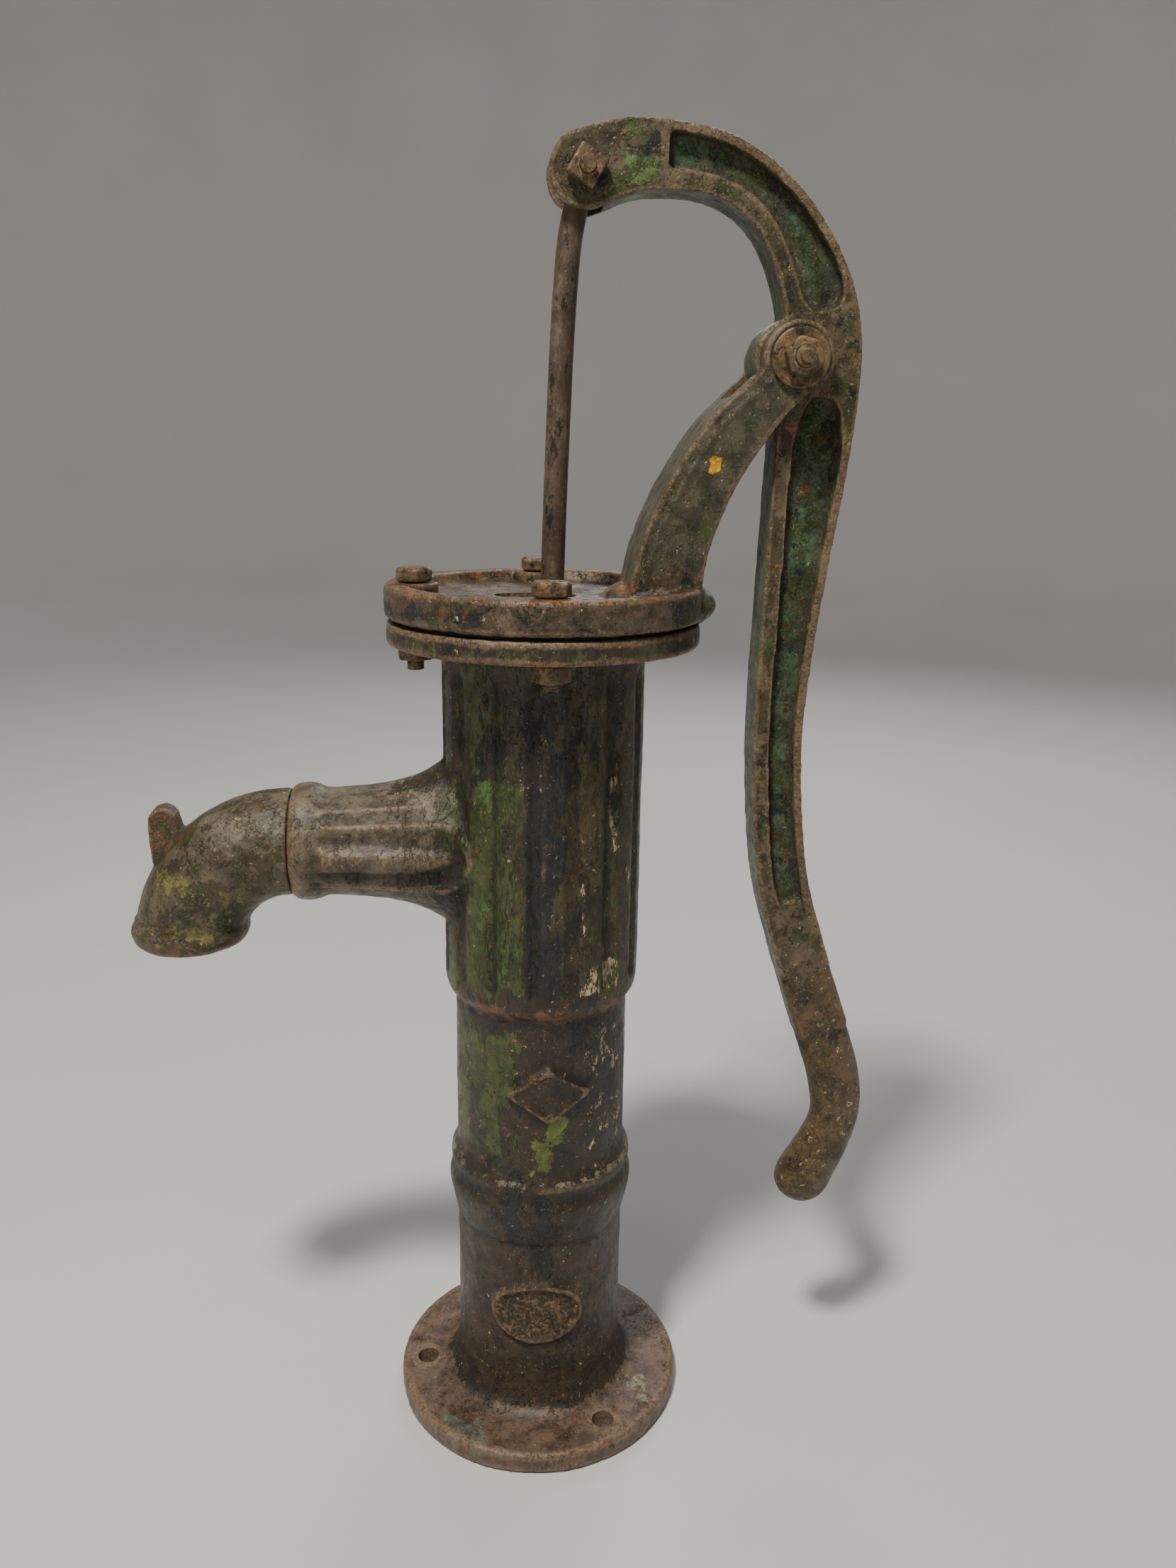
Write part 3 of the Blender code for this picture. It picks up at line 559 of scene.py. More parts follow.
def plain_finish(name, colour, second, scale, rough, metallic=0.0, bump=0.15, stretch=(1, 1, 1), grain=0.5):
    """A metal, leather or rubber with mottled colour, uneven gloss and grain."""
    made, tree, shader = new_material(name)
    mottle = noise(tree, place_of(tree, stretch=stretch), scale, 8.0, 0.7).outputs[0]
    fine = noise(tree, place_of(tree, (0.3, 0.8, 0.1), stretch), scale * 7, 5.0, 0.7).outputs[0]
    shade = blend(tree, between(tree, mottle, 0.38, 0.64), rgba(colour), rgba(second))
    specks = maths(tree, "MULTIPLY", between(tree, fine, 0.45, 0.32), 0.6)
    shade = blend(tree, specks, shade, rgba(second, 0.4))
    skin = maths(tree, "MULTIPLY", shared(tree, "grain", Pits=grain)["Height"], 0.5)
    height = maths(tree, "ADD", skin, fine)
    relief = node(tree, "ShaderNodeBump", Strength=1.0, Distance=bump * MM, Height=height)
    tree.links.new(shade, shader.inputs["Base Color"])
    tree.links.new(scaled(tree, mottle, 0.35, 0.65, rough[0], rough[1]), shader.inputs["Roughness"])
    tree.links.new(relief.outputs[0], shader.inputs["Normal"])
    shader.inputs["Metallic"].default_value = metallic
    return made


# Sizes and colours that a user would change ----------------------------------------------------------------

def colour_property(name, description, default):
    return bpy.props.FloatVectorProperty(name=name, description=description, default=default, subtype="COLOR",
                                         size=3, min=0.0, max=1.0)


class WellPumpSizes(bpy.types.PropertyGroup):
    """Sizes of the finished surfaces"""
    skin_depth: bpy.props.FloatProperty(
        name="Casting skin", description="Height of the lumps in the cast surfaces", default=0.5 * MM,
        unit="LENGTH", subtype="DISTANCE", min=0.0)
    flute_depth: bpy.props.FloatProperty(
        name="Flute depth", description="Depth of the channels down the head", default=2.3 * MM,
        unit="LENGTH", subtype="DISTANCE", min=0.0)
    flute_count: bpy.props.IntProperty(
        name="Flutes", description="Number of channels around the head", default=15, min=0, max=30)
    grip_width: bpy.props.FloatProperty(
        name="Grip width", description="Width of the handle's round grip, front to rear", default=24.0 * MM,
        unit="LENGTH", subtype="DISTANCE", min=0.01)
    rust_depth: bpy.props.FloatProperty(
        name="Rust depth", description="Height of the rust on the bolts and nuts", default=0.35 * MM,
        unit="LENGTH", subtype="DISTANCE", min=0.0)


class WellPumpColours(bpy.types.PropertyGroup):
    """Colours of the old paint, the rust and the chips"""
    iron: colour_property("Old iron", "Brown-black of the oldest paint", tint(55, 46, 33))
    iron_dark: colour_property("Dark iron", "Darker parts of the oldest paint", tint(34, 29, 22))
    moss: colour_property("Moss green", "Green paint on the barrel", tint(70, 80, 38))
    emerald: colour_property("Emerald", "Green paint in the handle's recess", tint(68, 96, 64))
    olive: colour_property("Olive", "Brown-green paint", tint(72, 64, 39))
    navy: colour_property("Navy", "Blue-black paint", tint(34, 36, 36))
    black: colour_property("Black", "Black paint", tint(29, 29, 29))
    plum: colour_property("Plum brown", "Purple-brown of the lower column and foot", tint(106, 86, 71))
    cream: colour_property("Cream", "Chips of the palest paint", tint(226, 204, 162))
    rust: colour_property("Rust", "Orange rust along edges", tint(138, 88, 48))
    bright: colour_property("Worn edge", "Bare, polished edges", tint(142, 116, 90))
    yellow: colour_property("Yellow", "A dab of bright paint on the arm", tint(240, 172, 20))


def sizes():
    return bpy.context.scene.well_pump_sizes


def colours():
    return bpy.context.scene.well_pump_colours


# Barrel ----------------------------------------------------------------------------------------------------

BARREL_RINGS = (
    (84.5, 0), (86, 1.2), (86, 11), (84.6, 12.6), (63, 12.8), (57.5, 14.2), (53.5, 17.5), (51, 22.5),
    (49.7, 30), (COLUMN_R, 45), (COLUMN_R, 122.5), (48.9, 123.5), (48.9, 125), (50.6, 126.5), (51.6, 131),
    (53.2, 138), (54.2, 143), (54.6, 147.5), (54.2, 151), (52.6, 153.5), (51.9, 156.5), (52.6, 159),
    (53.6, 161.5), (53.4, 164.5), (51.5, 168), (49.8, 172), (COLUMN_R, 176), (COLUMN_R, 262), (49.3, 266),
    (50.5, 268.2), (52.8, 270), (54.4, 273.5), (55.1, 279), (HEAD_R, 285), (HEAD_R, 291), (HEAD_R, 452),
    (HEAD_R, 460), (56, 464.5), (57.8, 467.2), (61, 468.2), (82.5, 468.2), (84, 469.4), (84, 479.2),
    (82.8, 480.5))
BRANCH_RINGS = (
    (45, 36, 30), (50, 34.5, 50), (44.5, 33.5, 57), (40, 33, 64), (37.1, 32.8, 70), (34.7, 32.4, 77),
    (32.6, 32, 86), (31.4, 31.2, 95), (30.3, 30.3, 108), (30, 30, 116), (30.2, 30.2, 120),
    (31.4, 31.4, 121.6), (32.3, 32.3, 124.2), (32.9, 32.9, 127.5), (32.9, 32.9, 131), (32.3, 32.3, 134.4),
    (31.2, 31.2, 136.8), (29.6, 29.6, 137.9))


CREAM_PLACES = (
    ((32, -60, 360), (38, -30, 404)), ((17.5, -60, 300), (21.5, -40, 352)), ((30, -60, 303), (34, -35, 331)),
    ((42, -50, 335), (47, -25, 362)), ((17, -60, 281), (42, -25, 300)))


def branch_radius(distance, angle):
    """Radius of the branch at a distance out from the axis, at an angle up from its side."""
    rings = BRANCH_RINGS[1:]
    for (tall, wide, near), (next_tall, next_wide, far) in zip(rings, rings[1:]):
        if distance <= far:
            t = max(0.0, (distance - near) / (far - near))
            tall += (next_tall - tall) * t
            wide += (next_wide - wide) * t
            break
    a = math.radians(angle)
    return tall * wide / math.hypot(wide * math.sin(a), tall * math.cos(a))


def on_branch(distance, angle, side=-1, lift=0.0):
    """A point on the branch, or on the head where that stands further out."""
    a = math.radians(angle)
    radius = branch_radius(distance, angle) + lift
    y = radius * math.cos(a)
    if distance < HEAD_R:
        y = max(y, math.sqrt(HEAD_R ** 2 - distance ** 2) + lift)
    return (-distance, side * y, SPOUT_Z + radius * math.sin(a))


def around(angle, radius, z):
    """A point at an angle around the barrel's axis."""
    a = math.radians(angle)
    return (radius * math.cos(a), radius * math.sin(a), z)


def raised_panel(name, angle, z, outline, proud, bead):
    """A raised panel that follows the column, with a bead around it. outline gives (arc mm, height mm)."""
    turn = math.radians(angle + 90)
    form = plate(name, [(a, z + b) for a, b in outline], -COLUMN_R - 12, -COLUMN_R + 14)
    form.rotation_euler = (0.0, 0.0, turn)
    settle(form)
    shell = cylinder(name + "_shell", COLUMN_R + proud, (0, 0, z - 40), (0, 0, z + 40), sides=96)
    applied(form, "BOOLEAN", operation="INTERSECT", object=shell, solver="MANIFOLD")
    bpy.data.objects.remove(shell, do_unlink=True)
    rim = [around(angle + math.degrees(a / COLUMN_R), COLUMN_R + proud, z + b) for a, b in outline]
    return [form, bar(name + "_bead", rim, bead, resolution=4, cyclic=True)]


def barrel_ribs():
    """The pointed lobe and the raised ridges on both sides of the branch."""
    forms = []
    for side in (-1, 1):
        finger = [on_branch(120 - 3.0 * i, -3, side, -1.4) for i in range(25)]
        shares = [*[1.0] * 16, 0.99, 0.97, 0.94, 0.89, 0.83, 0.75, 0.65, 0.52, 0.34]
        forms.append(bar("branch_finger", finger, 7.2, shares))
        top = [on_branch(120 - 3.0 * i, 47, side, -0.8) for i in range(20)]
        forms.append(bar("branch_ridge_high", top, 3.0, [*[1.0] * 16, 0.9, 0.7, 0.5, 0.3]))
        upper = [on_branch(120 - 3.5 * i, 28.5, side, -0.6) for i in range(20)]
        lower = [on_branch(120 - 3.5 * i, -31.6, side, -0.6) for i in range(20)]
        bend = [on_branch(51.5 - 12.5 * math.sin(math.radians(15 * i)), 28.5 - 60.1 * i / 12, side, -0.6)
                for i in range(1, 12)]
        forms.append(bar("branch_loop", [*upper, *bend, *reversed(lower)], 3.5))
    return forms


def fluted(obj):
    """Presses the channels into the head."""
    count = sizes().flute_count
    depth = sizes().flute_depth / MM
    period = 360 / max(count, 1)

    def in_channel(place):
        angle = math.degrees(math.atan2(place.y, place.x)) + 98
        off = abs((angle + period / 2) % period - period / 2)
        return count and off <= period / 6 and 283 * MM < place.z < 458 * MM

    only(obj)
    bpy.ops.object.mode_set(mode="EDIT")
    bpy.ops.mesh.select_mode(type="VERT")
    pick(obj, in_channel)
    share = 1 - depth / HEAD_R
    bpy.ops.transform.resize(value=(share, share, 1.0), center_override=(0.0, 0.0, 0.0))
    bpy.ops.object.mode_set(mode="OBJECT")
    return obj


def bolt_places():
    """Where the three cover bolts stand."""
    places = {}
    for side in ("left", "front", "rear"):
        low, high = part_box(f"cover_bolt_{side}")
        places[side] = ((low.x + high.x) / 2 / MM, (low.y + high.y) / 2 / MM)
    return places


class WELLPUMP_OT_barrel(bpy.types.Operator):
    """Make the barrel with its foot, belt, fluted head, branch and flange"""
    bl_idname = "well_pump.barrel"
    bl_label = "Barrel"

    def execute(self, context):
        forms = [fluted(turned("barrel_outer", BARREL_RINGS, steps=120))]
        branch = turned("branch", BRANCH_RINGS, steps=64)
        branch.rotation_euler = (0.0, -math.pi / 2, 0.0)
        branch.location = (0.0, 0.0, SPOUT_Z * MM)
        forms.append(settle(branch))
        forms.extend(barrel_ribs())
        lozenge = [(22, 0), (0, 15), (-22, 0), (0, -15)]
        forms.extend(raised_panel("lozenge", -88, 222, lozenge, 2.0, 2.5))
        oval = [(25.5 * math.cos(math.tau * i / 40), 18 * math.sin(math.tau * i / 40)) for i in range(40)]
        forms.extend(raised_panel("oval", -94.8, 80, oval, 0.8, 2.4))
        barrel = fused("barrel_casting", forms, 1.6, 2, 185000)
        roughened(barrel, (26, sizes().skin_depth / MM * 1.6), (7, sizes().skin_depth / MM))
        hollow = turned("hollow", (
            (SUCTION_R, -5), (SUCTION_R, 16), (CYLINDER_R, 16), (CYLINDER_R, 285), (HEAD_BORE_R, 292),
            (HEAD_BORE_R, 500)), steps=64)
        bore = cylinder("spout_bore", 24, (-150, 0, SPOUT_Z), (-20, 0, SPOUT_Z))
        seat = cylinder("spigot_seat", 27.3, (-150, 0, SPOUT_Z), (-127, 0, SPOUT_Z), sides=56)
        cut(barrel, hollow, bore, seat)
        for angle in (60, 180, 300):
            x, y, _ = around(angle, 70, 0)
            cut(barrel, cylinder("foot_hole", 6.5, (x, y, -5), (x, y, 22), sides=32))
        for x, y in bolt_places().values():
            cut(barrel, cylinder("bolt_hole", BOLT_HOLE_R, (x, y, 460), (x, y, 490), sides=32))
        mark_relief(barrel, 10)
        c = colours()
        tall = (1, 1, 0.32)
        paint = old_paint("barrel_paint", c.iron, c.iron_dark, (
            coat(c.olive, 38, 0.50, 0.4, (-90, -90, 270), (90, 90, 480), tall, thick=0),
            coat(c.moss, 55, 0.46, 1.3, (-90, -90, 275), (90, 90, 480), tall),
            coat(c.navy, 48, 0.38, 4.4, stretch=tall),
            coat(c.moss, 60, 0.72, 2.6, (-44, -60, 284), (-12, 0, 402), tall, soft=8, thick=0),
            coat(tint(74, 100, 46), 90, 0.50, 2.9, (-40, -60, 288), (-14, 0, 404), tall, soft=7),
            coat(c.navy, 60, 0.70, 3.1, (-14, -60, 280), (10, 0, 440), tall, soft=9, thick=0),
            coat(c.olive, 50, 0.60, 5.2, (8, -60, 284), (56, 10, 470), tall, soft=9),
            coat(c.moss, 60, 0.60, 5.9, (-60, -60, 176), (-12, 10, 264), (1, 1, 0.6)),
            coat(tint(110, 122, 52), 120, 0.74, 6.3, (-2, -60, 188), (13, 0, 212), soft=8),
            coat(tint(110, 122, 52), 120, 0.74, 6.6, (-9, -60, 171), (5, 0, 194), soft=8, thick=0),
            coat(tint(62, 51, 38), 30, 0.62, 7.1, (-90, -90, 16), (90, 90, 124), soft=10, thick=0),
            # Painted highlight: a pale grey band along the belt's upper ridge stands for the light caught on
            # it.
            coat(tint(124, 118, 98), 70, 0.56, 7.7, (-90, -90, 163.5), (90, 90, 168.5), soft=3, thick=0),
            coat(c.plum, 40, 0.95, 7.9, (-90, -90, -5), (90, 90, 17), soft=6, thick=0),
            coat(tint(104, 108, 92), 60, 0.70, 8.1, (-60, -84, -5), (-34, -52, 16), soft=9, thick=0),
            coat(tint(150, 146, 122), 90, 0.62, 8.2, (44, -50, -5), (66, -20, 16), soft=9, thick=0),
            coat(tint(122, 96, 68), 420, 0.56, 8.4, (-30, -60, 63), (22, -40, 97), soft=5, thick=1.0),
            coat(tint(108, 98, 80), 36, 0.80, 8.6, (-140, -45, 322), (-58, 45, 392), soft=14, thick=0),
            coat(tint(78, 74, 58), 60, 0.42, 8.8, (-140, -45, 322), (-58, 45, 392), (0.4, 1, 1), thick=0),
            *[coat(c.cream, 190, 0.44, 9.0 + 0.2 * i, low, high, (1, 1, 0.3), 3.5, 0)
              for i, (low, high) in enumerate(CREAM_PLACES)],
            coat(c.cream, 150, 0.34, 8.9, (20, -60, 178), (48, -8, 262), (1, 1, 0.6), soft=8, thick=-0.6),
            coat(c.cream, 300, 0.20, 9.7, thick=-0.5),
            coat(tint(116, 80, 48), 85, 0.60, 10.2, (-90, -90, 263), (90, 90, 277), soft=7, thick=0),
            coat(c.rust, 85, 0.74, 10.8, (-90, -90, 465.5), (90, 90, 471), soft=4, thick=0),
            coat(c.rust, 130, 0.24, 11.5),
        ), edge=0.42, edge_colour=c.bright, hollow=0.05)
        dress(barrel, paint, "pump_body", "old_paint_iron", "barrel")
        return {"FINISHED"}


# Spout nose ------------------------------------------------------------------------------------------------

ELBOW = (-140.0, 299.5)
ELBOW_R = 57.0
HOOK_OUTLINE = (
    (-193, 345), (-196, 356), (-199.2, 368), (-200.3, 373), (-203, 376.6), (-207.5, 377.9), (-212, 376.4),
    (-214.8, 372), (-215.2, 366), (-214.9, 357), (-214.2, 348), (-212, 338), (-203, 332))


class WELLPUMP_OT_spout_nose(bpy.types.Operator):
    """Make the spout's down-turned nose with its lip and bucket hook"""
    bl_idname = "well_pump.spout_nose"
    bl_label = "Spout Nose"

    def execute(self, context):
        bend = [(x, 0, z) for x, z in arc(ELBOW, ELBOW_R, 90, 171, 24)]
        mouth_x = ELBOW[0] - ELBOW_R
        tube = [(-138.2, 0, SPOUT_Z), *bend]
        shares = [1.0] * len(tube)
        shares[0] = 0.985
        forms = [bar("nose_tube", tube, 29.8, shares, resolution=12)]
        lip = turned("nose_lip", (
            (26.4, NOSE_LIP), (28.9, NOSE_LIP + 0.8), (31.0, NOSE_LIP + 3.4), (32.2, NOSE_LIP + 7.5),
            (32.0, NOSE_LIP + 10.2), (30.0, NOSE_LIP + 12.4), (29.6, NOSE_LIP + 16)), steps=64)
        lip.location = (mouth_x * MM, 0.0, 0.0)
        forms.append(settle(lip))
        forms.append(plate("hook", HOOK_OUTLINE, -6.8, 6.8, 2.6))
        nose = fused("spout_nose_casting", forms, 0.95, 3)
        roughened(nose, (22, sizes().skin_depth / MM * 1.3), (6, sizes().skin_depth / MM))
        spigot = cylinder("spigot", 27, (-150, 0, SPOUT_Z), (-127.3, 0, SPOUT_Z), sides=56)
        applied(nose, "BOOLEAN", operation="UNION", object=spigot, solver="MANIFOLD")
        bpy.data.objects.remove(spigot, do_unlink=True)
        water_way = [(-110, 0, SPOUT_Z), *bend, (mouth_x, 0, NOSE_LIP - 10)]
        cut(nose, bar("water_way", water_way, 24, resolution=12))
        mark_relief(nose, 16)
        c = colours()
        paint = old_paint("nose_paint", tint(98, 88, 69), tint(68, 60, 48), (
            coat(c.olive, 50, 0.50, 1.1),
            coat(tint(112, 106, 60), 60, 0.46, 2.3, (-214, -40, 300), (-150, 0, 352)),
            coat(c.moss, 60, 0.34, 3.7),
            # Painted highlight: a pale grey-brown patch over the top of the nose tube stands for its sheen.
            coat(tint(108, 102, 86), 50, 0.44, 4.9, (-190, -40, 352), (-130, 0, 392), soft=10, thick=0.05),
            coat(c.rust, 120, 0.22, 5.6),
            coat(tint(124, 88, 66), 70, 0.66, 6.4, (-232, -40, 296), (-160, 40, 308), soft=4),
            coat(tint(120, 84, 58), 120, 0.58, 7.7, (-220, -10, 350), (-196, 10, 380), soft=8),
            coat(c.cream, 300, 0.22, 8.1, thick=-0.5),
        ), edge=0.40, edge_colour=c.bright)
        dress(nose, paint, "pump_body", "old_paint_iron", "spout_nose")
        return {"FINISHED"}


# Cover -----------------------------------------------------------------------------------------------------

ARM_OUTER = ((42, 484), (44, 503), (51, 529), (63.5, 556), (80, 582), (97, 599.5), (106, 607.5))
ARM_INNER = ((142, 606), (134, 599.5), (124, 590.5), (110.7, 573.6), (97, 552), (87.5, 529), (82.5, 510),
             (80.5, 484))
ARM_HALF = 25.0
CHEEK_R = 18.5
FORK_HALF = 14.6


def arm_forms():
    """The arm with its flared root, raised seam and round cheeks."""
    fx, fz = FULCRUM.x, FULCRUM.z
    cheek = arc((fx, fz), CHEEK_R, 195, -20, 24)
    outline = [*smooth_line(ARM_OUTER, 4), *cheek, *smooth_line(ARM_INNER, 4)]
    forms = [plate("arm", outline, -ARM_HALF + 0.3, ARM_HALF - 0.3, 3.6)]
    forms.append(ball("arm_root", (61, 0, 489), (32, 33, 15)))
    seam = smooth_line(ARM_OUTER[1:], 4)
    for side in (-1, 1):
        y = side * (ARM_HALF - 0.6)
        along = [(x + 6.5, y, z - 3.2) for x, z in seam]
        forms.append(bar("arm_seam", along, 1.3, resolution=3))
        rim = [(x, y, z) for x, z in arc((fx, fz), CHEEK_R - 2.2, 200, -30, 30)]
        forms.append(bar("cheek_rim", rim, 1.5, resolution=3))
    return forms


class WELLPUMP_OT_cover(bpy.types.Operator):
    """Make the dished cover with its bolt bosses and forked arm"""
    bl_idname = "well_pump.cover"
    bl_label = "Cover and Arm"

    def execute(self, context):
        low = COVER_LOW
        top = BOLT_TOP - 7.8
        floor = top - 6.8
        forms = [turned("cover_disc", (
            (83, low), (85, low + 1.6), (85, top - 2), (84.2, top - 0.5), (82.6, top), (75.5, top),
            (73.5, top - 0.8), (71.5, floor + 1.6), (69.5, floor), (20, floor)), steps=96)]
        for x, y in bolt_places().values():
            forms.append(cylinder("bolt_boss", 13, (x, y, floor - 4), (x, y, top - 0.4)))
        forms.extend(arm_forms())
        cover = fused("cover_casting", forms, 1.15, 3)
        roughened(cover, (24, sizes().skin_depth / MM * 1.3), (6, sizes().skin_depth / MM * 1.1))
        fx, fz = FULCRUM.x, FULCRUM.z
        away = Vector((78 - fx, 550 - fz)).normalized()
        across = Vector((-away.y, away.x))
        slot_corners = ((35, -60), (35, 60), (-60, 60), (-60, -60))
        corners = [Vector((fx, fz)) + away * a + across * b for a, b in slot_corners]
        cut(cover, plate("fork_slot", [tuple(p) for p in corners], -FORK_HALF, FORK_HALF))
        cut(cover, cylinder("pin_hole", 5.7, (fx, -40, fz), (fx, 40, fz), sides=32))
        for x in (-15.5, 6.5):
            cut(cover, cylinder("slot_end", 11, (x, 0, low - 5), (x, 0, top + 5)))
        cut(cover, block("slot_middle", (-15.5, -10.9, low - 5), (6.5, 10.9, top + 5)))
        for x, y in bolt_places().values():
            cut(cover, cylinder("bolt_hole", BOLT_HOLE_R, (x, y, low - 5), (x, y, top + 5), sides=32))
        mark_relief(cover, 14)
        c = colours()
        paint = old_paint("cover_paint", tint(96, 79, 60), tint(60, 50, 40), (
            coat(c.plum, 45, 0.50, 0.7, thick=0),
            coat(c.olive, 55, 0.42, 1.9),
            coat(c.navy, 60, 0.66, 2.2, (-90, -90, 483), (-30, 0, 495), soft=10),
            coat(c.moss, 70, 0.66, 3.3, (62, -90, 480), (90, 10, 502), soft=12),
            coat(c.emerald, 90, 0.32, 4.6),
            coat(c.black, 60, 0.36, 5.4),
            coat(tint(82, 78, 60), 45, 0.90, 6.1, (30, -40, 505), (160, 40, 640), soft=14),
            coat(c.moss, 75, 0.38, 6.9, (30, -40, 505), (160, 40, 640), (2, 1, 1)),
            coat(c.cream, 110, 0.56, 7.3, (-72, -55, 490), (-34, -12, 497), soft=8, thick=-0.6),
            coat(c.rust, 80, 0.56, 8.2, (-90, -90, 496), (90, 90, 502), soft=5),
            coat(c.rust, 130, 0.30, 8.8, (-90, -90, 470), (90, 90, 506)),
            coat(c.rust, 150, 0.20, 8.9),
            coat(c.cream, 300, 0.20, 9.9, thick=-0.5),
            coat(c.yellow, 150, 0.97, 9.5, (82.2, -30, 558.4), (89.6, -20, 566.4), soft=3.4, thick=0.5),
        ), edge=0.42, edge_colour=c.bright)
        dress(cover, paint, "pump_body", "old_paint_iron", "cover_bracket")
        return {"FINISHED"}


# Handle ----------------------------------------------------------------------------------------------------

HANDLE_LINE = (
    (18.6, 700.3, 18.4), (45, 707.5, 16.7), (84, 704.3, 14.9), (113, 687, 14.6), (134, 655, 18),
    (141.5, 620, 20.5), (139, 570, 20.3), (134.3, 509, 17.2), (130.6, 455, 14.8), (129.8, 405, 14.1),
    (136, 340, 14.6), (150, 289, 15.1), (167, 239, 15.8), (179.5, 200, 15.8), (180, 170, 15.2),
    (164, 134, 17.5))
SPAN_STEPS = 8
HANDLE_HALF = 13.0
RECESS_HALF = 6.5
OUTER_RIM = 5.2
# Each recess: its first and last point along the line, its inner rim, and its widths' shares at the ends.
RECESSES = (((1.32, 4.62), 10.0, (0.92, 0.5)), ((5.55, 11.3), 9.4, (0.4, 0.15)))
GRIP_SPAN = 11.4
GRIP_R = 15.4


def recess_outline(line, outer_rim, inner_rim, end_shares):
    """A recess along the handle that leaves a rim on each side. end_shares are its widths at its two ends."""
    outer, _ = edges_of(line, outer_rim)
    _, inner = edges_of(line, inner_rim)
    count = len(line) - 1
    first, last = end_shares
    near, far = [], []
    for i, (a, b) in enumerate(zip(outer, inner)):
        share = min(1.0, first + 0.3 * math.sqrt(i), last + 0.3 * math.sqrt(count - i))
        middle = (Vector(a) + Vector(b)) / 2
        half = (Vector(a) - Vector(b)) / 2 * share
        near.append(tuple(middle + half))
        far.append(tuple(middle - half))
    return [*near, *reversed(far)]


class WELLPUMP_OT_handle(bpy.types.Operator):
    """Make the swan-necked handle with its rims, recesses, hub, boss and grip"""
    bl_idname = "well_pump.handle"
    bl_label = "Handle"

    def execute(self, context):
        line = smooth_line(HANDLE_LINE, SPAN_STEPS)
        px, pz = ROD_PIVOT.x, ROD_PIVOT.z
        fx, fz = FULCRUM.x, FULCRUM.z
        grip_start = round(GRIP_SPAN * SPAN_STEPS)
        flat = line[:grip_start]
        outer, inner = edges_of(flat, 0.3)
        boss = arc((px, pz), 18.2, 282, 108, 18)
        outline = [*outer[1:], *reversed(inner[1:]), *boss]
        body = plate("handle_body", outline, -HANDLE_HALF + 0.3, HANDLE_HALF - 0.3, 3.2)
        for (start, end), inner_rim, end_shares in RECESSES:
            span = line[round(start * SPAN_STEPS):round(end * SPAN_STEPS)]
            recess = recess_outline(span, OUTER_RIM, inner_rim, end_shares)
            for low, high in ((-20, -RECESS_HALF), (RECESS_HALF, 20)):
                cut(body, plate("recess", recess, low, high))
        forms = [body, cylinder("hub", 20.3, (fx, -13.4, fz), (fx, 13.4, fz))]
        near, far = edges_of(line[grip_start - 6:grip_start + 7], 0.2)
        forms.append(plate("grip_root", [*near, *reversed(far)], -HANDLE_HALF + 0.4, HANDLE_HALF - 0.4, 6.5))
        grip_line = line[grip_start - 8:]
        reach = sizes().grip_width / 2 / MM
        shares = [half / GRIP_R for _, _, half in grip_line]
        grip = bar("grip", [(x, 0, z) for x, z, _ in grip_line], GRIP_R, shares, 10)
        grip.scale = (1.0, reach / GRIP_R, 1.0)
        forms.append(settle(grip))
        tip_x, tip_z, tip_r = HANDLE_LINE[-1]
        forms.append(ball("grip_tip", (tip_x, 0, tip_z), (tip_r, reach + 1.0, tip_r)))
        handle = fused("handle_casting", forms, 1.15, 3, 190000)
        roughened(handle, (20, sizes().skin_depth / MM * 1.2), (6, sizes().skin_depth / MM))
        around_eye = arc((px, pz), 14.5, -50, 140, 18)
        room = [(px + 8, pz - 40), *around_eye, (px - 40, pz + 9), (px - 40, pz - 40)]
        cut(handle, plate("swing_room", room, -7.4, 7.4))
        cut(handle, cylinder("hub_hole", 5.8, (fx, -40, fz), (fx, 40, fz), sides=32))
        cut(handle, cylinder("boss_hole", 4.3, (px, -40, pz), (px, 40, pz), sides=24))
        mark_relief(handle, 14)
        c = colours()
        paint = old_paint("handle_paint", tint(104, 90, 67), tint(70, 61, 47), (
            coat(c.olive, 40, 0.52, 0.6),
            coat(tint(98, 124, 68), 60, 0.74, 1.4, (34, -20, 688), (58, 20, 710), soft=12),
            coat(c.emerald, 34, 1.3, 2.2, (60, -9.4, 280), (190, 9.4, 720), soft=2.2),
            coat(tint(72, 82, 60), 50, 0.56, 2.7, (60, -9.2, 280), (190, 9.2, 720), soft=2),
            coat(c.black, 60, 0.32, 3.1, (60, -9, 280), (190, 9, 720), soft=2),
            coat(c.moss, 90, 0.42, 3.9, (60, -9, 280), (190, 9, 720), soft=2),
            coat(c.moss, 60, 0.40, 4.5),
            coat(c.navy, 70, 0.33, 5.1),
            coat(c.rust, 90, 0.28, 5.9, (90, -20, 290), (190, 20, 640)),
            coat(tint(98, 79, 52), 40, 0.72, 6.8, (140, -20, 110), (200, 20, 280), soft=20),
            coat(c.cream, 240, 0.27, 7.4, (140, -20, 110), (200, 20, 290), thick=-0.5),
            coat(c.cream, 300, 0.20, 8.2, thick=-0.5),
        ), edge=0.38, edge_colour=c.bright)
        dress(handle, paint, "handle", "handle_iron", "handle")
        return {"FINISHED"}


# Rod, bolts, nuts and pins ---------------------------------------------------------------------------------

ROD_LINE = (
    (18.6, 700.3), (12.4, 674), (9.9, 649), (7.9, 612), (5.6, 545), (3.8, 480), (0.6, 390), (0, ROD_END))
HEX_R = 18.0 / math.sqrt(3)


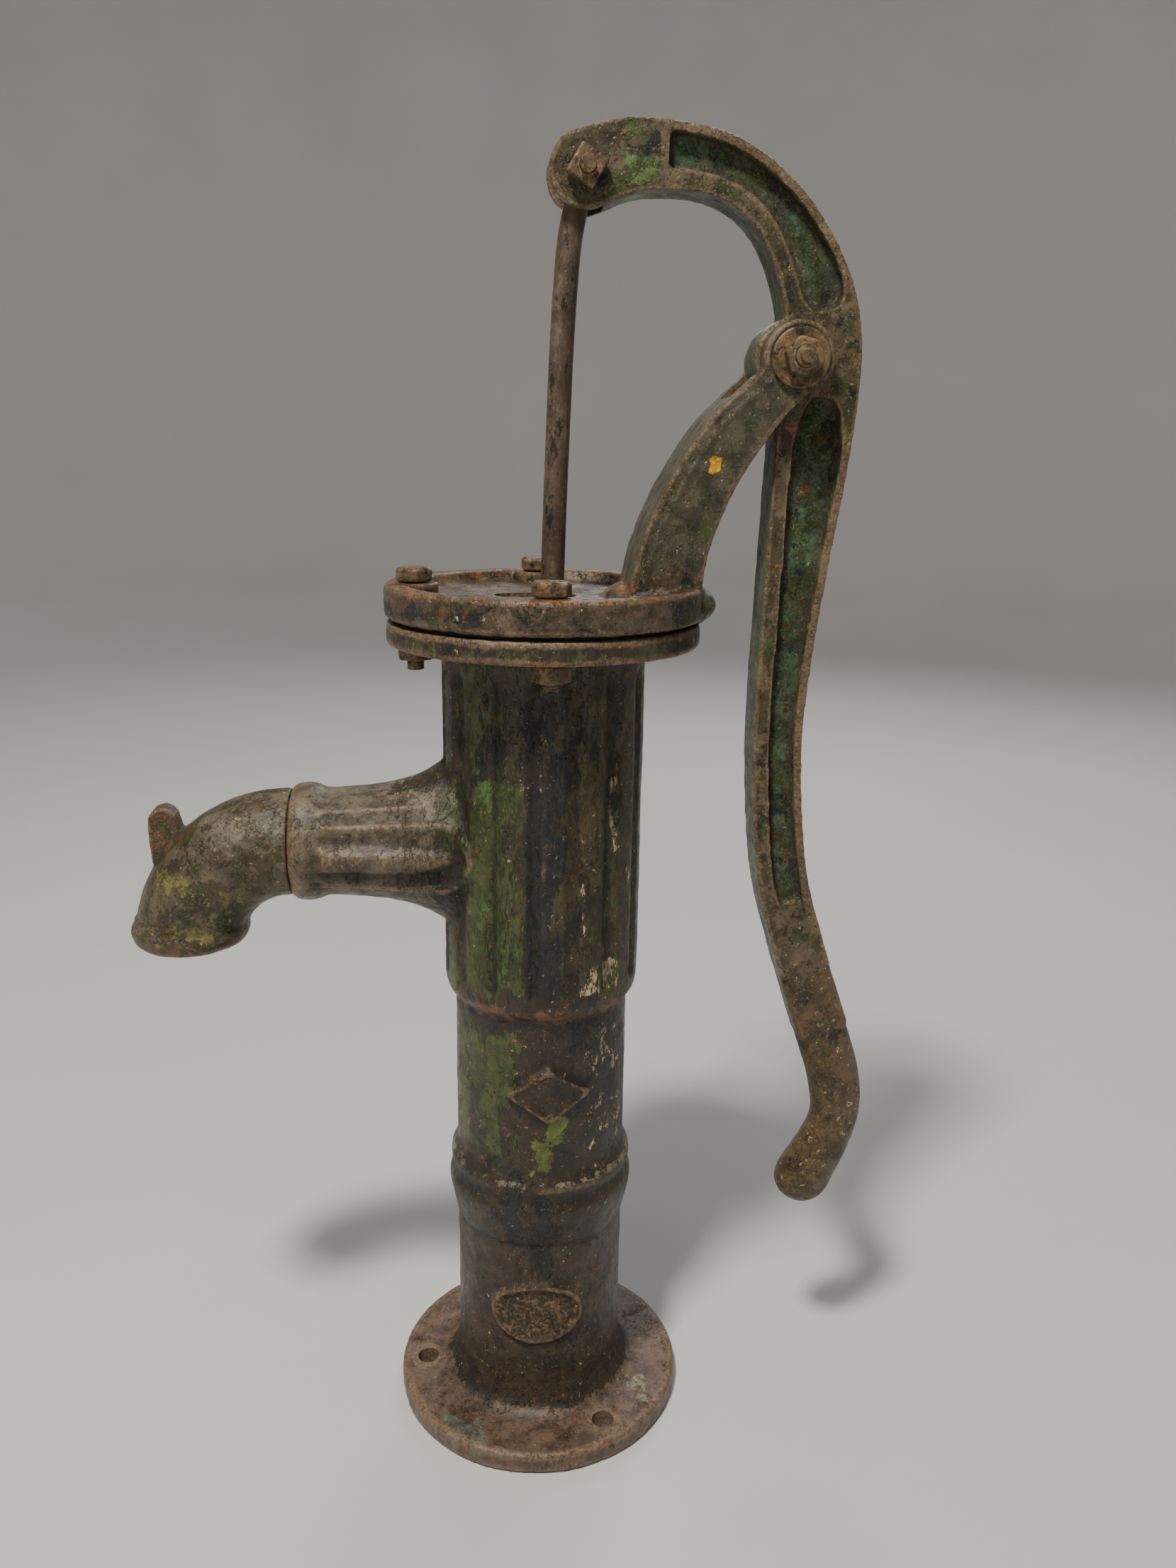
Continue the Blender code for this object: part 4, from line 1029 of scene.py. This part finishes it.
def rusty_steel():
    """The rust of the bolts and nuts, made once."""
    if "rusty_bolts" in bpy.data.materials:
        return bpy.data.materials["rusty_bolts"]
    c = colours()
    return old_paint("rusty_bolts", tint(114, 94, 68), tint(76, 61, 46), (
        coat(tint(132, 104, 72), 130, 0.50, 0.8),
        coat(c.iron_dark, 140, 0.34, 1.7),
        coat(c.rust, 200, 0.30, 2.5),
        coat(c.olive, 150, 0.30, 3.2),
    ), edge=0.16, edge_colour=tint(164, 138, 108), rough=(0.3, 0.62), bump=0.6)


def hexagon(name, low, high, sides=6, radius=HEX_R, turn=0.0, dome=0.0):
    """A chamfered nut or bolt head between two points along one line."""
    low = Vector(low)
    high = Vector(high)
    along = (high - low).normalized()
    body = cylinder(name, radius, low, high, sides=sides, turn=turn)
    applied(body, "BEVEL", width=1.1 * MM, segments=2, limit_method="ANGLE", angle_limit=math.radians(50))
    forms = [body]
    if dome:
        forms.append(cylinder(name + "_dome", radius * 0.80, low, high + along * dome, sides=32))
    return forms


def screw_thread(name, radius, low, high, pitch=1.6):
    """The threaded end of an upright bolt."""
    rings = [(radius * 0.7, low)]
    z = low + 0.6
    while z + pitch < high:
        rings += [(radius, z), (radius - 0.55, z + pitch * 0.5)]
        z += pitch
    rings += [(radius, z), (radius, high)]
    return turned(name, rings, steps=28)


def rusted(obj, body, rounds, *nodes):
    """Roughens a fastener and gives it the bolts' rust."""
    roughened(obj, (4.5, sizes().rust_depth / MM))
    mark_relief(obj, rounds)
    return dress(obj, rusty_steel(), body, "rusty_steel", *nodes)


class WELLPUMP_OT_cover_bolts(bpy.types.Operator):
    """Make the three bolts that hold the cover, and their nuts"""
    bl_idname = "well_pump.cover_bolts"
    bl_label = "Cover Bolts"

    def execute(self, context):
        for i, (side, (x, y)) in enumerate(bolt_places().items()):
            bolt_low, bolt_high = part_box(f"cover_bolt_{side}")
            nut_low, nut_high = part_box(f"cover_nut_{side}")
            seat = bolt_high.z / MM - 7.5
            forms = hexagon("head", (x, y, seat), (x, y, seat + 6.9), turn=0.2 + 0.5 * i, dome=0.6)
            forms.append(screw_thread("shank", 4.75, bolt_low.z / MM, seat + 3))
            forms[-1].location = (x * MM, y * MM, 0.0)
            settle(forms[-1])
            bolt = fused(f"bolt_{side}", forms, 0.45, 1)
            rusted(bolt, "pump_body", 8, f"cover_bolt_{side}")
            low, high = nut_low.z / MM, nut_high.z / MM
            nut = fused(f"nut_{side}", hexagon("nut", (x, y, low), (x, y, high), turn=0.1 + 0.4 * i), 0.45, 1)
            cut(nut, cylinder("nut_bore", 5.1, (x, y, low - 5), (x, y, high + 5), sides=28))
            rusted(nut, "pump_body", 8, f"cover_nut_{side}")
        return {"FINISHED"}


class WELLPUMP_OT_pivot_pins(bpy.types.Operator):
    """Make the fulcrum pin, its washer and nut, and the rod's pin and nut"""
    bl_idname = "well_pump.pivot_pins"
    bl_label = "Pivot Pins"

    def execute(self, context):
        fx, fz = FULCRUM.x, FULCRUM.z
        px, pz = ROD_PIVOT.x, ROD_PIVOT.z
        forms = hexagon("head", (fx, 25.3, fz), (fx, 31.8, fz), turn=0.3, dome=0.5)
        forms.append(cylinder("pin", 5.4, (fx, -38.3, fz), (fx, 28, fz), sides=32))
        forms.append(cylinder("pin_tip", 3.5, (fx, -41.1, fz), (fx, -36, fz), sides=24))
        rusted(fused("fulcrum_bolt", forms, 0.5, 1), "pump_body", 8, "fulcrum_pin")
        washer = fused("fulcrum_ring", [turned("washer", (
            (14, 0), (15, 0.5), (15, 1.8), (14.2, 2.4), (7, 2.4)), steps=48)], 0.45, 1)
        washer.rotation_euler = (math.pi / 2, 0.0, 0.0)
        washer.location = (fx * MM, -25.35 * MM, fz * MM)
        settle(washer)
        cut(washer, cylinder("washer_bore", 5.7, (fx, -40, fz), (fx, -10, fz), sides=32))
        rusted(washer, "pump_body", 6, "fulcrum_washer")
        nut = fused("fulcrum_hex_nut", hexagon("nut", (fx, -28.2, fz), (fx, -36.2, fz), turn=0.3), 0.5, 1)
        cut(nut, cylinder("nut_bore", 5.7, (fx, -60, fz), (fx, 0, fz), sides=32))
        rusted(nut, "pump_body", 8, "fulcrum_nut")
        forms = hexagon("square_head", (px, 13.3, pz), (px, 19.2, pz), 4, 11.0)
        forms.append(cylinder("rod_bolt", 4.0, (px, -23.1, pz), (px, 16, pz), sides=28))
        rusted(fused("rod_bolt", forms, 0.45, 1), "handle", 8, "rod_pin")
        square = hexagon("square_nut", (px, -13.4, pz), (px, -20.2, pz), 4, 11.0, 0.25)
        nut = fused("rod_square_nut", square, 0.45, 1)
        cut(nut, cylinder("nut_bore", 4.3, (px, -60, pz), (px, 0, pz), sides=28))
        rusted(nut, "handle", 8, "rod_pin_nut")
        return {"FINISHED"}


class WELLPUMP_OT_rod(bpy.types.Operator):
    """Make the bent piston rod with its forged eye"""
    bl_idname = "well_pump.rod"
    bl_label = "Piston Rod"

    def execute(self, context):
        px, pz = ROD_PIVOT.x, ROD_PIVOT.z
        points = [(x, 0, z) for x, z in smooth_line(ROD_LINE, 8)]
        eye = cylinder("eye", 12.5, (px, -6.6, pz), (px, 6.6, pz), sides=64)
        applied(eye, "BEVEL", width=1.6 * MM, segments=3, limit_method="ANGLE", angle_limit=math.radians(50))
        rod = fused("bent_rod", [bar("rod_bar", points, 6.3, resolution=8), eye], 0.6, 2)
        roughened(rod, (5, 0.22))
        cut(rod, cylinder("eye_hole", 4.5, (px, -20, pz), (px, 20, pz), sides=32))
        mark_relief(rod, 12)
        c = colours()
        steel = old_paint("rod_steel", tint(88, 72, 58), tint(66, 53, 42), (
            coat(tint(100, 85, 70), 60, 0.5, 0.9, stretch=(1, 1, 0.25)),
            coat(c.rust, 140, 0.24, 1.6, stretch=(1, 1, 0.5)),
            coat(c.iron_dark, 140, 0.30, 2.8, stretch=(1, 1, 0.4)),
        ), edge=0.2, edge_colour=tint(150, 128, 106), rough=(0.34, 0.58), bump=0.4)
        dress(rod, steel, "rod", "worn_steel", "piston_rod")
        return {"FINISHED"}


class WELLPUMP_OT_inside(bpy.types.Operator):
    """Finish the gasket, the bucket, both valves and the rod's nuts"""
    bl_idname = "well_pump.inside"
    bl_label = "Inside Pieces"

    def execute(self, context):
        brass = plain_finish("dull_brass", tint(168, 132, 70), tint(104, 84, 50), 90, (0.34, 0.6), 0.9, 0.12)
        leather = plain_finish("oiled_leather", tint(92, 60, 38), tint(52, 34, 24), 120, (0.5, 0.8), 0.0, 0.3)
        rubber = plain_finish("old_gasket", tint(44, 40, 36), tint(26, 24, 22), 140, (0.7, 0.92), 0.0, 0.2)
        wet_iron = plain_finish(
            "wet_rusty_iron", tint(100, 66, 42), tint(56, 42, 34), 110, (0.5, 0.85), 0.1, 0.35, grain=1.0)
        finishes = {
            "cover_gasket": rubber, "bucket_body": brass, "bucket_follower": brass, "bucket_valve": brass,
            "foot_valve_seat": brass, "foot_valve_screw": brass, "foot_valve_clamp": brass,
            "cup_leather": leather, "foot_valve_flap": leather, "foot_valve_weight": wet_iron,
            "rod_nut_upper": wet_iron, "rod_washer": wet_iron, "rod_nut_lower": wet_iron}
        for name, finish in finishes.items():
            obj = bpy.data.objects[name]
            if not obj.material_slots:
                obj.data.materials.append(finish)
            for slot in obj.material_slots:
                slot.material = finish
        return {"FINISHED"}


# Stage -----------------------------------------------------------------------------------------------------

CAMERA_PLACE = (-0.03562, -0.65718, 0.56803)
CAMERA_YAW = 5.31
CAMERA_PITCH = 15.26
CAMERA_ROLL = -0.97
CAMERA_LENS = 27.99


def add_light(name, place, target, size, power, colour=(1.0, 1.0, 1.0)):
    only_nothing()
    bpy.ops.object.light_add(type="AREA", location=place)
    light = bpy.context.object
    light.name = name
    light.data.size = size
    light.data.energy = power
    light.data.color = colour
    light.rotation_euler = (Vector(target) - Vector(place)).to_track_quat("-Z", "Y").to_euler()


def open_bowl(floor):
    """Takes the lid off the floor's bowl and turns its inside towards the pump."""
    only(floor)
    bpy.ops.object.mode_set(mode="EDIT")
    bpy.ops.mesh.select_mode(type="FACE")
    shape = bmesh.from_edit_mesh(floor.data)
    for face in shape.faces:
        face.select_set(len(face.verts) > 4 and face.calc_center_median().z > 1.0)
    bmesh.update_edit_mesh(floor.data)
    bpy.ops.mesh.delete(type="FACE")
    bpy.ops.mesh.select_all(action="SELECT")
    bpy.ops.mesh.flip_normals()
    bpy.ops.object.mode_set(mode="OBJECT")


class WELLPUMP_OT_stage(bpy.types.Operator):
    """Set up the floor, the lights and the camera"""
    bl_idname = "well_pump.stage"
    bl_label = "Stage"

    def execute(self, context):
        yaw, pitch, roll = (math.radians(a) for a in (CAMERA_YAW, CAMERA_PITCH, CAMERA_ROLL))
        ahead = Vector((math.sin(yaw) * math.cos(pitch), math.cos(yaw) * math.cos(pitch), -math.sin(pitch)))
        right = Vector((math.cos(yaw), -math.sin(yaw), 0.0))
        down = ahead.cross(right)
        right_rolled = right * math.cos(roll) + down * math.sin(roll)
        down_rolled = down * math.cos(roll) - right * math.sin(roll)
        only_nothing()
        bpy.ops.object.camera_add()
        camera = bpy.context.object
        camera.name = "studio_camera"
        turn = Matrix((right_rolled, -down_rolled, -ahead)).transposed()
        camera.matrix_world = Matrix.Translation(CAMERA_PLACE) @ turn.to_4x4()
        camera.data.lens = CAMERA_LENS
        camera.data.sensor_width = 36.0
        camera.data.clip_start = 0.01
        camera.data.clip_end = 50.0
        context.scene.camera = camera
        floor = turned("studio_floor", (
            (1.0, -0.4), (3000.0, -0.4), (3600.0, 120.0), (4050.0, 450.0), (4300.0, 950.0), (4400.0, 1700.0),
            (4400.0, 4200.0)), steps=64)
        open_bowl(floor)
        bpy.ops.object.shade_smooth()
        pale, tree, shader = new_material("pale_floor")
        cloud = noise(tree, place_of(tree), 3.0, 3.0, 0.5).outputs[0]
        shade = blend(tree, cloud, rgba((0.60, 0.60, 0.60)), rgba((0.66, 0.66, 0.665)))
        tree.links.new(shade, shader.inputs["Base Color"])
        shader.inputs["Roughness"].default_value = 0.9
        floor.data.materials.append(pale)
        world = bpy.data.worlds.new("studio_world")
        world.use_nodes = True
        world.node_tree.nodes["Background"].inputs["Color"].default_value = (0.82, 0.80, 0.75, 1.0)
        world.node_tree.nodes["Background"].inputs["Strength"].default_value = 0.27
        context.scene.world = world
        middle = (0.0, 0.0, 0.40)
        add_light("key_light", (-0.58, -0.95, 2.40), middle, 0.30, 66, (1.0, 0.94, 0.84))
        add_light("fill_light", (-1.1, -1.9, 0.9), middle, 1.0, 4.5, (1.0, 0.96, 0.90))
        add_light("rear_light", (0.7, 1.8, 1.6), middle, 1.2, 16)
        return {"FINISHED"}


class WELLPUMP_PT_panel(bpy.types.Panel):
    """Lists the makers of the well pump's pieces"""
    bl_idname = "WELLPUMP_PT_panel"
    bl_label = "Well Pump"
    bl_space_type = "VIEW_3D"
    bl_region_type = "UI"
    bl_category = "Well Pump"

    def draw(self, context):
        scene = context.scene
        for group in (scene.well_pump_sizes, scene.well_pump_colours):
            box = self.layout.box()
            for name in group.__annotations__:
                box.prop(group, name)
        for maker in MAKERS:
            self.layout.operator(maker.bl_idname)


MAKERS = (
    WELLPUMP_OT_stage, WELLPUMP_OT_barrel, WELLPUMP_OT_spout_nose, WELLPUMP_OT_cover, WELLPUMP_OT_handle,
    WELLPUMP_OT_rod, WELLPUMP_OT_cover_bolts, WELLPUMP_OT_pivot_pins, WELLPUMP_OT_inside)
CLASSES = (WellPumpSizes, WellPumpColours, *MAKERS, WELLPUMP_PT_panel)


def register():
    for cls in CLASSES:
        bpy.utils.register_class(cls)
    bpy.types.Scene.well_pump_sizes = bpy.props.PointerProperty(type=WellPumpSizes)
    bpy.types.Scene.well_pump_colours = bpy.props.PointerProperty(type=WellPumpColours)


def unregister():
    del bpy.types.Scene.well_pump_colours
    del bpy.types.Scene.well_pump_sizes
    for cls in reversed(CLASSES):
        bpy.utils.unregister_class(cls)


def main():
    register()
    bpy.ops.well_pump.stage()
    bpy.ops.well_pump.barrel()
    bpy.ops.well_pump.spout_nose()
    bpy.ops.well_pump.cover()
    bpy.ops.well_pump.handle()
    bpy.ops.well_pump.rod()
    bpy.ops.well_pump.cover_bolts()
    bpy.ops.well_pump.pivot_pins()
    bpy.ops.well_pump.inside()


if __name__ == "__main__":
    main()
